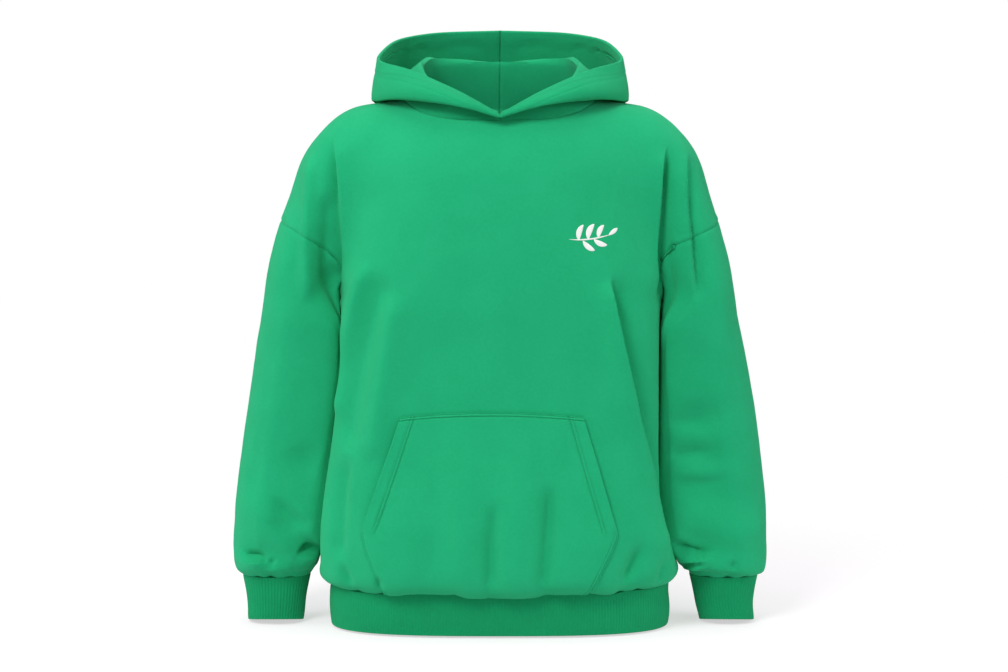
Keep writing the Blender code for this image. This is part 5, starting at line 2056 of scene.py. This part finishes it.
@dataclass
class Drape:
    """Finds places on the outside of a finished panel."""

    tree: BVHTree
    before: float = -0.4
    first_depth: float = -0.13

    @classmethod
    def over(cls, sheet: Sheet) -> Drape:
        """A drape over a panel's outer face."""
        rows, columns = sheet.points.shape[:2]
        grid = np.arange(rows * columns).reshape(rows, columns)
        quads = np.stack([grid[:-1, :-1], grid[:-1, 1:], grid[1:, 1:], grid[1:, :-1]], axis=-1).reshape(-1, 4)
        return cls(BVHTree.FromPolygons(sheet.points.reshape(-1, 3).tolist(), quads.tolist()))

    def at(self, x: Points, z: Points) -> Points:
        """The front's outside at places seen from the front.

        Args:
            x: places across.
            z: heights.

        Returns:
            Points on the cloth.
        """
        found, ahead, depth = [], Vector((0, 1, 0)), self.first_depth
        for across, height in zip(x.ravel(), z.ravel()):
            hit = self.tree.ray_cast(Vector((across, self.before, height)), ahead)[0]
            depth = hit.y if hit is not None else depth
            found.append((across, depth, height))
        return np.array(found).reshape(x.shape + (3,))


@dataclass
class Pocket:
    """The pouch pocket on the front, with wide turned hems at its slanted openings."""

    name: str = "pocket"
    cloth: float = 0.0020
    lift: float = 0.0010
    puff: float = 0.0022
    gape: float = 0.0022
    bow: float = 0.0062
    hem: float = 0.0165
    hem_rows: Pair = (0.0145, 0.0185)
    edge_rows: Pair = (0.0014, 0.0046)
    step: float = 0.0034
    slant: float = 19.0
    wave: Wave = Wave(0.00035, 0.018, 1.5)
    near_side: tuple[float, ...] = metres(
        (0, 0.4, 0.8, 1.4, 2.2, 3.4, 4.6, 5.8, 7.5, 9.5, 11.5, 13.2, 14.5, 15.8, 17.2, 18.5, 19.8, 21.5)
    )
    near_top: tuple[float, ...] = metres((0, 0.4, 0.8, 1.4, 2.2, 3, 3.8, 4.6, 5.4, 6.6, 8.5))

    def columns(self, width: Points) -> Points:
        """How far each column lies from the left edge, on every row, closer together near both edges."""
        near = np.array(self.near_side)
        share = np.linspace(0, 1, 60)[1:-1]
        reach = near[-1]
        middle = reach + share * (width[:, None] - 2 * reach)
        return np.concatenate([near + 0 * width[:, None], middle, width[:, None] - near[::-1]], axis=1)

    def rows(self) -> Points:
        """Heights of the rows, closer together under the top edge."""
        below = np.array(self.near_top)
        bottom, top = POCKET[0].height, POCKET[-1].height
        count = round((top - bottom - below[-1]) / self.step)
        return np.concatenate([np.linspace(bottom, top - below[-1], count)[:-1], top - below[::-1]])

    def build(self, kit: Dresser, front: Sheet) -> None:
        """Make the pocket and its stitches.

        Args:
            kit: finishes and tools.
            front: the front's outer face, which the pocket lies on.
        """
        heights = self.rows()
        stops = column(POCKET, "height")
        left, right = (np.interp(heights, stops, column(POCKET, name)) for name in ("left", "right"))
        slant = math.cos(math.radians(self.slant))
        width = (right - left) * slant
        x = left[:, None] + self.columns(width) / slant
        across = (x - x.mean(1, keepdims=True)) / ((right - left) / 2)[:, None]
        z = heights[:, None] + self.bow * smooth((heights[:, None] - POCKET_MOUTH) / 0.14) * (1 - across**2)
        sag = np.stack([x, 0 * x - 0.12, z], axis=-1)
        z = z + hem_rise(sag)
        base = Sheet(Drape.over(front).at(x, z))
        normal = base.normals()
        for _ in range(6):
            beside = normal[:-2, 1:-1] + normal[2:, 1:-1] + normal[1:-1, :-2] + normal[1:-1, 2:]
            normal[1:-1, 1:-1] = unit(beside)
        side, top = base.from_sides(), base.away(Edge.TOP)
        mouth = smooth((z - POCKET_MOUTH) / 0.006)
        rise = np.clip((z - POCKET_MOUTH) / (POCKET[-1].height - POCKET_MOUTH), 0, 1)
        t = (z - z[0]) / (z[-1] - z[0])
        puff = self.puff * np.sin(math.pi * t) * smooth(side / 0.05)
        gape = self.gape * np.sin(math.pi * rise) ** 0.7 * np.exp(-side / 0.014)
        hem = 0.0009 * mouth * (1 - smooth((side - self.hem) / 0.0016 + 0.5))
        rows = sum(bump(side - row, 0.0010) for row in self.hem_rows) * mouth
        rows = rows + sum(bump(top - row, 0.0009) for row in self.edge_rows)
        rows = rows + sum(bump(side - row, 0.0009) for row in self.edge_rows) * (1 - mouth)
        between = 0.00035 * bump(top - 0.0030, 0.0012) + 0.0003 * mouth * bump(side - self.hem, 0.0014)
        soft = uneven(base.points, self.wave) * smooth(np.minimum(side, top) / 0.02)
        wall = self.cloth * thinned(np.minimum(side, top), 0.0010)
        inner = self.lift + puff + gape + soft + (self.cloth - wall) * 0.5
        outer = inner + wall + hem + between - 0.0013 * rows
        shell = Shell(Sheet(base.points + outer[..., None] * normal), base.points + inner[..., None] * normal)
        piece = shell.build(self.name + "_cloth", [kit.fleece, kit.brushed])
        kit.wear(piece, FLEECE.slot, (self.name,))
        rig.sheet(piece, flat=(0.315, 0.228), area=0.063, held="laid", rests_on=["front_cloth"])
        self.stitch(kit, shell.sheet, side, top, mouth)

    def stitch(self, kit: Dresser, sheet: Sheet, side: Points, top: Points, mouth: Points) -> None:
        """Sew the twin rows along the top, the openings and the lower sides.

        Args:
            kit: finishes and tools.
            sheet: the pocket's outer face.
            side: how far each of its points lies from the nearer side.
            top: how far each lies from the top.
            mouth: 1 where it lies beside an opening, 0 where the side is sewn down.
        """
        lines, half = [], sheet.points.shape[1] // 2
        opening, below_top = mouth[:, 0] > 0.5, top[:, half] > 0.001
        for near, far in zip(self.edge_rows, self.hem_rows):
            lines.append(sheet.points[int(np.abs(top[:, half] - near).argmin()), 1:-1])
            for columns in (slice(0, half), slice(half, None)):
                for place, part in ((far, opening), (near, ~opening)):
                    picked = np.abs(side[:, columns] - place).argmin(1)
                    points = sheet.points[:, columns][np.arange(len(picked)), picked]
                    lines.append(points[part & below_top])
        kit.wear(stitched("pocket_stitches", lines, kit), THREAD_WITH_SEAM_SHADE.slot)


def stitched(name: str, lines: list[Points], kit: Dresser, pitch: float = 0.0031) -> Piece:
    """Rows of stitches along lines.

    Args:
        name: the piece's name.
        lines: points along each row, on the cloth.
        kit: finishes and tools.
        pitch: the distance from stitch to stitch.

    Returns:
        The piece.
    """
    points, edges, start = [], [], 0
    for line in lines:
        points += line.tolist()
        edges += [(start + i, start + i + 1) for i in range(len(line) - 1)]
        start += len(line)
    mesh = bpy.data.meshes.new(name)
    mesh.from_pydata(points, edges, [])
    piece = placed(name, mesh)
    kit.stitches.use(piece, kit.thread, Pitch=pitch, Length=pitch * 0.8)
    piece.data.shade_smooth()
    return piece


@dataclass
class Hood:
    """The two halves of the hood, folded down behind the neck."""

    cloth: float = 0.0026
    hem: float = 0.0016
    hem_width: float = 0.0205
    sewn: float = 0.0183
    clear: float = 0.0035
    cells: int = 18
    spread: tuple[float, ...] = (0, 0.14, 0.34, 0.50, 0.60, 0.80, 1)
    step: float = 0.0030
    rim_rows: tuple[float, ...] = metres(
        (0.4, 0.9, 1.6, 2.6, 5, 8, 11, 14, 16.2, 18, 19, 19.8, 20.6, 21.4, 22.4, 24, 26.5)
    )
    waves: tuple[Wave, ...] = (Wave(0.0009, 0.045), Wave(0.0004, 0.019), Wave(0.00014, 0.009))

    def coarse(self) -> Points:
        """The left half, in rows from the neck seam up, counted from the front round to the back."""
        front, back = PATTERN.neck(Face.FRONT), PATTERN.neck(Face.BACK)
        half = PATTERN.neck_cells // 2
        seam = np.concatenate([front[: half + 1][::-1], back[1 : half + 1]])
        seam[0, 0] = seam[-1, 0] = 0
        along = np.linspace(0, 1, len(seam))
        stops = column(HOOD, "along")
        lines = [seam]
        for name in ("ridge", "lining", "bag", "under", "outer", "rim"):
            places = np.array([getattr(rib, name) for rib in HOOD])
            lines.append(np.stack([track(stops, places[:, i], along) for i in range(3)], axis=1))
        at = np.interp(np.linspace(0, 1, self.cells + 1), self.spread, np.arange(len(lines)))
        grid = spline(np.array(lines), at)
        clear = self.clear * np.clip(np.arange(self.cells + 1) / 3, 0, 1)[:, None]
        for _ in range(4):
            normal, size = FORM.outward(grid)
            short = np.maximum(clear - FORM.gap(grid, Cloth.BODY) / np.maximum(size, 0.25), 0)
            grid = grid + short[..., None] * normal
        grid[0] = seam
        grid[:, 0, 0] = grid[:, -1, 0] = 0
        return grid

    def half(self, side: Side) -> tuple[Sheet, Points]:
        """One half's outer face, and its outward directions before its unevenness."""
        grid = self.coarse()
        rows, columns = stations(grid, 0, self.step, self.rim_rows), stations(grid, 1, self.step)
        points = refine(grid, rows, columns)
        points[:, 0, 0] = points[:, -1, 0] = 0
        sheet = Sheet(points[:, ::-1] if side is Side.LEFT else mirrored(points))
        normal = sheet.normals()
        normal[:, [0, -1], 0] = 0
        normal = unit(normal)
        p = sheet.points
        top, low = sheet.away(Edge.TOP), sheet.away(Edge.BOTTOM)
        middle = sheet.from_sides()
        clear = smooth(np.minimum(np.minimum(low, middle), top) / CLEAR)
        seams = groove(middle, 0.0012) + groove(low, 0.0009) + groove(top - self.hem_width, 0.0005, 0.0014)
        height = clear * uneven(p, *self.waves) + seams
        sheet.points = p + height[..., None] * normal
        return sheet, normal

    def build(self, kit: Dresser) -> None:
        """Make both halves and the stitches of the hem.

        Args:
            kit: finishes and tools.
        """
        lines = []
        for side in Side:
            sheet, normal = self.half(side)
            top, middle = sheet.away(Edge.TOP), sheet.from_sides()
            wall = self.cloth + self.hem * (1 - smooth((top - self.hem_width) / 0.0014 + 0.5))
            left = wall * thinned(top, 0.0022)
            outer = sheet.points - ((wall - left) / 2)[..., None] * normal
            dent = 0.0030 * bump(top - self.sewn, 0.0016) + 0.0028 * bump(middle, 0.0014)
            inner = outer - (left - dent)[..., None] * normal
            inner[:, [0, -1], 0] = 0
            shell = Shell(Sheet(outer), inner)
            name = "hood_" + side.word
            piece = shell.build(name + "_cloth", [kit.hood, kit.hood])
            kit.wear(piece, HOOD_FLEECE.slot, (name,))
            panels = ["front_cloth", "back_cloth"]
            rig.sheet(piece, flat=(0.36, 0.42), area=0.112, held="folded", rests_on=panels)
            row = int(np.abs(top[:, top.shape[1] // 2] - self.sewn).argmin())
            lines += [outer[row, 2:-2], inner[row, 2:-2]]
        kit.wear(stitched("hood_stitches", lines, kit), THREAD_WITH_SEAM_SHADE.slot)


# ---- print


class Leaf(NamedTuple):
    """A pad of the printed sprig: its start, its bend, its end and its half width."""

    start: Pair
    bend: Pair
    end: Pair
    wide: float


SPRIG = table(
    Leaf, (),
    ((-27, -9), (-4, -8), (24, 6), 0.9),
    ((-15, -8), (-19, 2), (-13, 11), 3.4),
    ((-4, -5), (-7, 6), (0, 14), 3.6),
    ((8, -1), (6, 8), (12, 15), 3.2),
    ((-10, -8), (-3, -16), (6, -17), 3.2),
    ((3, -4), (11, -10), (20, -8), 3.2),
    ((20, 4), (26, 10), (29, 14), 2.6),
)


@dataclass
class Sprig:
    """A small raised print on the chest: a leafy twig."""

    centre: Pair = (0.112, -0.166)
    tilt: float = -10.0
    height: float = 0.00045

    def build(self, kit: Dresser, front: Sheet) -> None:
        """Make the print on the front's own points.

        Args:
            kit: finishes and tools.
            front: the front's outer face.
        """
        drape = Drape.over(front)
        t, s = np.meshgrid(np.linspace(0, 1, 27), np.linspace(-1, 1, 11), indexing="ij")
        turn = math.radians(self.tilt)
        points, faces = [], []
        for leaf in SPRIG:
            a, b, c = (np.array(point) for point in (leaf.start, leaf.bend, leaf.end))
            at = t[..., None]
            line = bent(a, b, c, at)
            run = unit(2 * (1 - at) * (b - a) + 2 * at * (c - b))
            wide = leaf.wide * np.sin(math.pi * np.clip(t, 0.012, 0.988)) ** 0.62
            flat = line + (s * wide)[..., None] * np.stack([-run[..., 1], run[..., 0]], axis=-1)
            x = self.centre[0] + flat[..., 0] * math.cos(turn) - flat[..., 1] * math.sin(turn)
            z = self.centre[1] + flat[..., 0] * math.sin(turn) + flat[..., 1] * math.cos(turn)
            base = Sheet(drape.at(x, z)[:, ::-1])
            normal = base.normals()
            normal = np.where(normal[..., 1:2] > 0, -normal, normal)
            dome = np.sqrt(np.clip(1 - (0.97 * s) ** 2, 0, 1)) * np.clip(np.sin(math.pi * t) * 3, 0.1, 1)
            high = (0.00012 + self.height * dome[:, ::-1])[..., None]
            shell = Shell(Sheet(base.points + high * normal), base.points - 0.0002 * normal)
            faces.append(shell.quads()[0] + 2 * t.size * len(faces))
            points += [shell.sheet.points.reshape(-1, 3), shell.inner.reshape(-1, 3)]
        mesh = bpy.data.meshes.new("chest_print")
        mesh.from_pydata(np.concatenate(points).tolist(), [], np.concatenate(faces).tolist())
        mesh.materials.append(kit.printed)
        mesh.shade_smooth()
        kit.wear(placed("chest_print", mesh), PRINT.slot)


# ---- studio

WHITE = (1, 1, 1, 1)


@dataclass
class Lamp:
    """A soft lamp: where it stands, how large it is and its power."""

    name: str
    place: Triple
    size: float
    power: float


@dataclass
class Studio:
    """Plain white surroundings with soft light, and the camera."""

    distance: float = 2.6
    tilt: float = 4.5
    aim: Pair = (0.005, -0.298)
    metres_per_pixel: float = 0.00128
    picture_width: int = 1008
    sensor: float = 36.0
    floor: float = -0.6672
    floor_colour: Triple = (0.52, 0.48, 0.51)
    floor_far: float = 12.0
    floor_seen: float = 0.57
    bounce: float = 0.36
    surround: float = 0.32
    disc: Pair = (0.42, 0.95)
    lit: Triple = (0.0, 0.0, -0.3)
    lamps: tuple[Lamp, ...] = (
        Lamp("key", (-1.3, -2.5, 1.9), 1.4, 77.0),
        Lamp("fill", (1.8, -2.6, 0.8), 2.0, 14.0),
        Lamp("above", (0.0, 0.3, 2.2), 2.0, 22.0),
        Lamp("left side", (-2.6, -0.5, 0.4), 1.6, 24.0),
        Lamp("right side", (2.6, -0.6, 0.6), 1.6, 24.0),
    )

    def camera(self) -> None:
        """A camera level with the chest, looking slightly down."""
        lens = bpy.data.cameras.new("camera")
        lens.sensor_width = self.sensor
        lens.lens = self.sensor * (self.distance / self.metres_per_pixel) / self.picture_width
        camera = placed("camera", lens)
        tilt = math.radians(self.tilt)
        across, height = self.aim
        camera.location = (across, -self.distance * math.cos(tilt), height + self.distance * math.sin(tilt))
        camera.rotation_euler = (math.pi / 2 - tilt, 0, 0)
        bpy.context.scene.camera = camera

    def ground(self) -> None:
        """A wide white floor that the hem and cuffs hang just above."""
        mesh, far = bpy.data.meshes.new("floor"), self.floor_far
        mesh.from_pydata([(-far, -far, 0), (far, -far, 0), (far, far, 0), (-far, far, 0)], [], [(0, 1, 2, 3)])
        white, g, shader = new_material("floor_white")
        seen = g.add("ShaderNodeLightPath").outputs["Is Camera Ray"]
        g.feed(
            shader,
            Base_Color=(*self.floor_colour, 1),
            Roughness=1.0,
            Specular_IOR_Level=0.0,
            Emission_Color=WHITE,
            Emission_Strength=g.span(seen, self.bounce, self.floor_seen),
        )
        place = g.add("ShaderNodeTexCoord").outputs["Object"]
        reach = g.add("ShaderNodeVectorMath", {"operation": "LENGTH"}, i0=place).outputs["Value"]
        near, away = self.disc
        eased = {"interpolation_type": "SMOOTHSTEP"}
        share = g.add("ShaderNodeMapRange", eased, Value=reach, i1=near, i2=away)
        glow = g.add("ShaderNodeEmission", Color=WHITE, Strength=g.span(seen, self.surround, 1.0))
        mix = g.add("ShaderNodeMixShader", i0=share.outputs[0], i1=shader.outputs[0], i2=glow.outputs[0])
        g.feed(white.node_tree.nodes["Material Output"], Surface=mix.outputs[0])
        mesh.materials.append(white)
        floor = placed("floor", mesh)
        floor.location.z = self.floor
        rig.stage(floor)

    def lights(self) -> None:
        """Soft lamps and a white surround."""
        for lamp in self.lamps:
            light = bpy.data.lights.new(lamp.name, "AREA")
            light.shape, light.size, light.energy = "DISK", lamp.size, lamp.power
            stand = placed(lamp.name, light)
            stand.location = lamp.place
            towards = Vector(self.lit) - Vector(lamp.place)
            stand.rotation_euler = towards.to_track_quat("-Z", "Y").to_euler()
        world = bpy.data.worlds.new("surround")
        world.use_nodes = True
        world.node_tree.nodes.clear()
        bpy.context.scene.world = world
        g = Graph(world.node_tree)
        seen = g.add("ShaderNodeLightPath").outputs["Is Camera Ray"]
        white = g.add("ShaderNodeBackground", Color=WHITE, Strength=g.span(seen, self.surround, 1.0))
        g.add("ShaderNodeOutputWorld", Surface=white.outputs[0])
        bpy.context.scene.view_settings.view_transform = "Standard"

    def build(self) -> None:
        """Set up the studio."""
        self.camera()
        self.ground()
        self.lights()


def clear_extras() -> None:
    """Remove whatever the file opened with that isn't part of the frame."""
    kept = set(frame["nodes"].values()) | set(frame["bodies"].values())
    for found in list(bpy.data.objects):
        if found not in kept:
            bpy.data.objects.remove(found, do_unlink=True)


def main() -> None:
    """Build every piece of the hoodie, then the studio."""
    logging.basicConfig(level=logging.INFO, format="%(name)s %(message)s")
    clear_extras()
    kit = Dresser(
        fleece=FLEECE.material("fleece"),
        brushed=BRUSHED.material("fleece_inside"),
        hood=HOOD_FLEECE.material("hood_fleece"),
        rib=RIB.material("rib_knit"),
        thread=THREAD_WITH_SEAM_SHADE.material("thread"),
        printed=PRINT.material("print_white"),
        ribs=RibTool(),
        stitches=StitchTool(),
    )
    front = Panel("front", face=Face.FRONT).build(kit)
    Panel("back", face=Face.BACK).build(kit)
    for side in Side:
        Sleeve("sleeve_" + side.word, side=side).build(kit)
        sway = Wave(0.0008, 0.03, 0.7)
        Cuff("cuff_" + side.word, 360, depth=0.0007, sway=sway, flat=(0.225, 0.055), side=side).build(kit)
    HemBand("hem_band", 1800).build(kit)
    Pocket().build(kit, front)
    Hood().build(kit)
    Sprig().build(kit, front)
    Studio().build()
    corners = {"cad": [list(corner) for corner in cad_box], "visual": [list(corner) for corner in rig.bounds()]}
    with open("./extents.json", "w") as file:
        json.dump(corners, file)


if __name__ == "__main__":
    main()
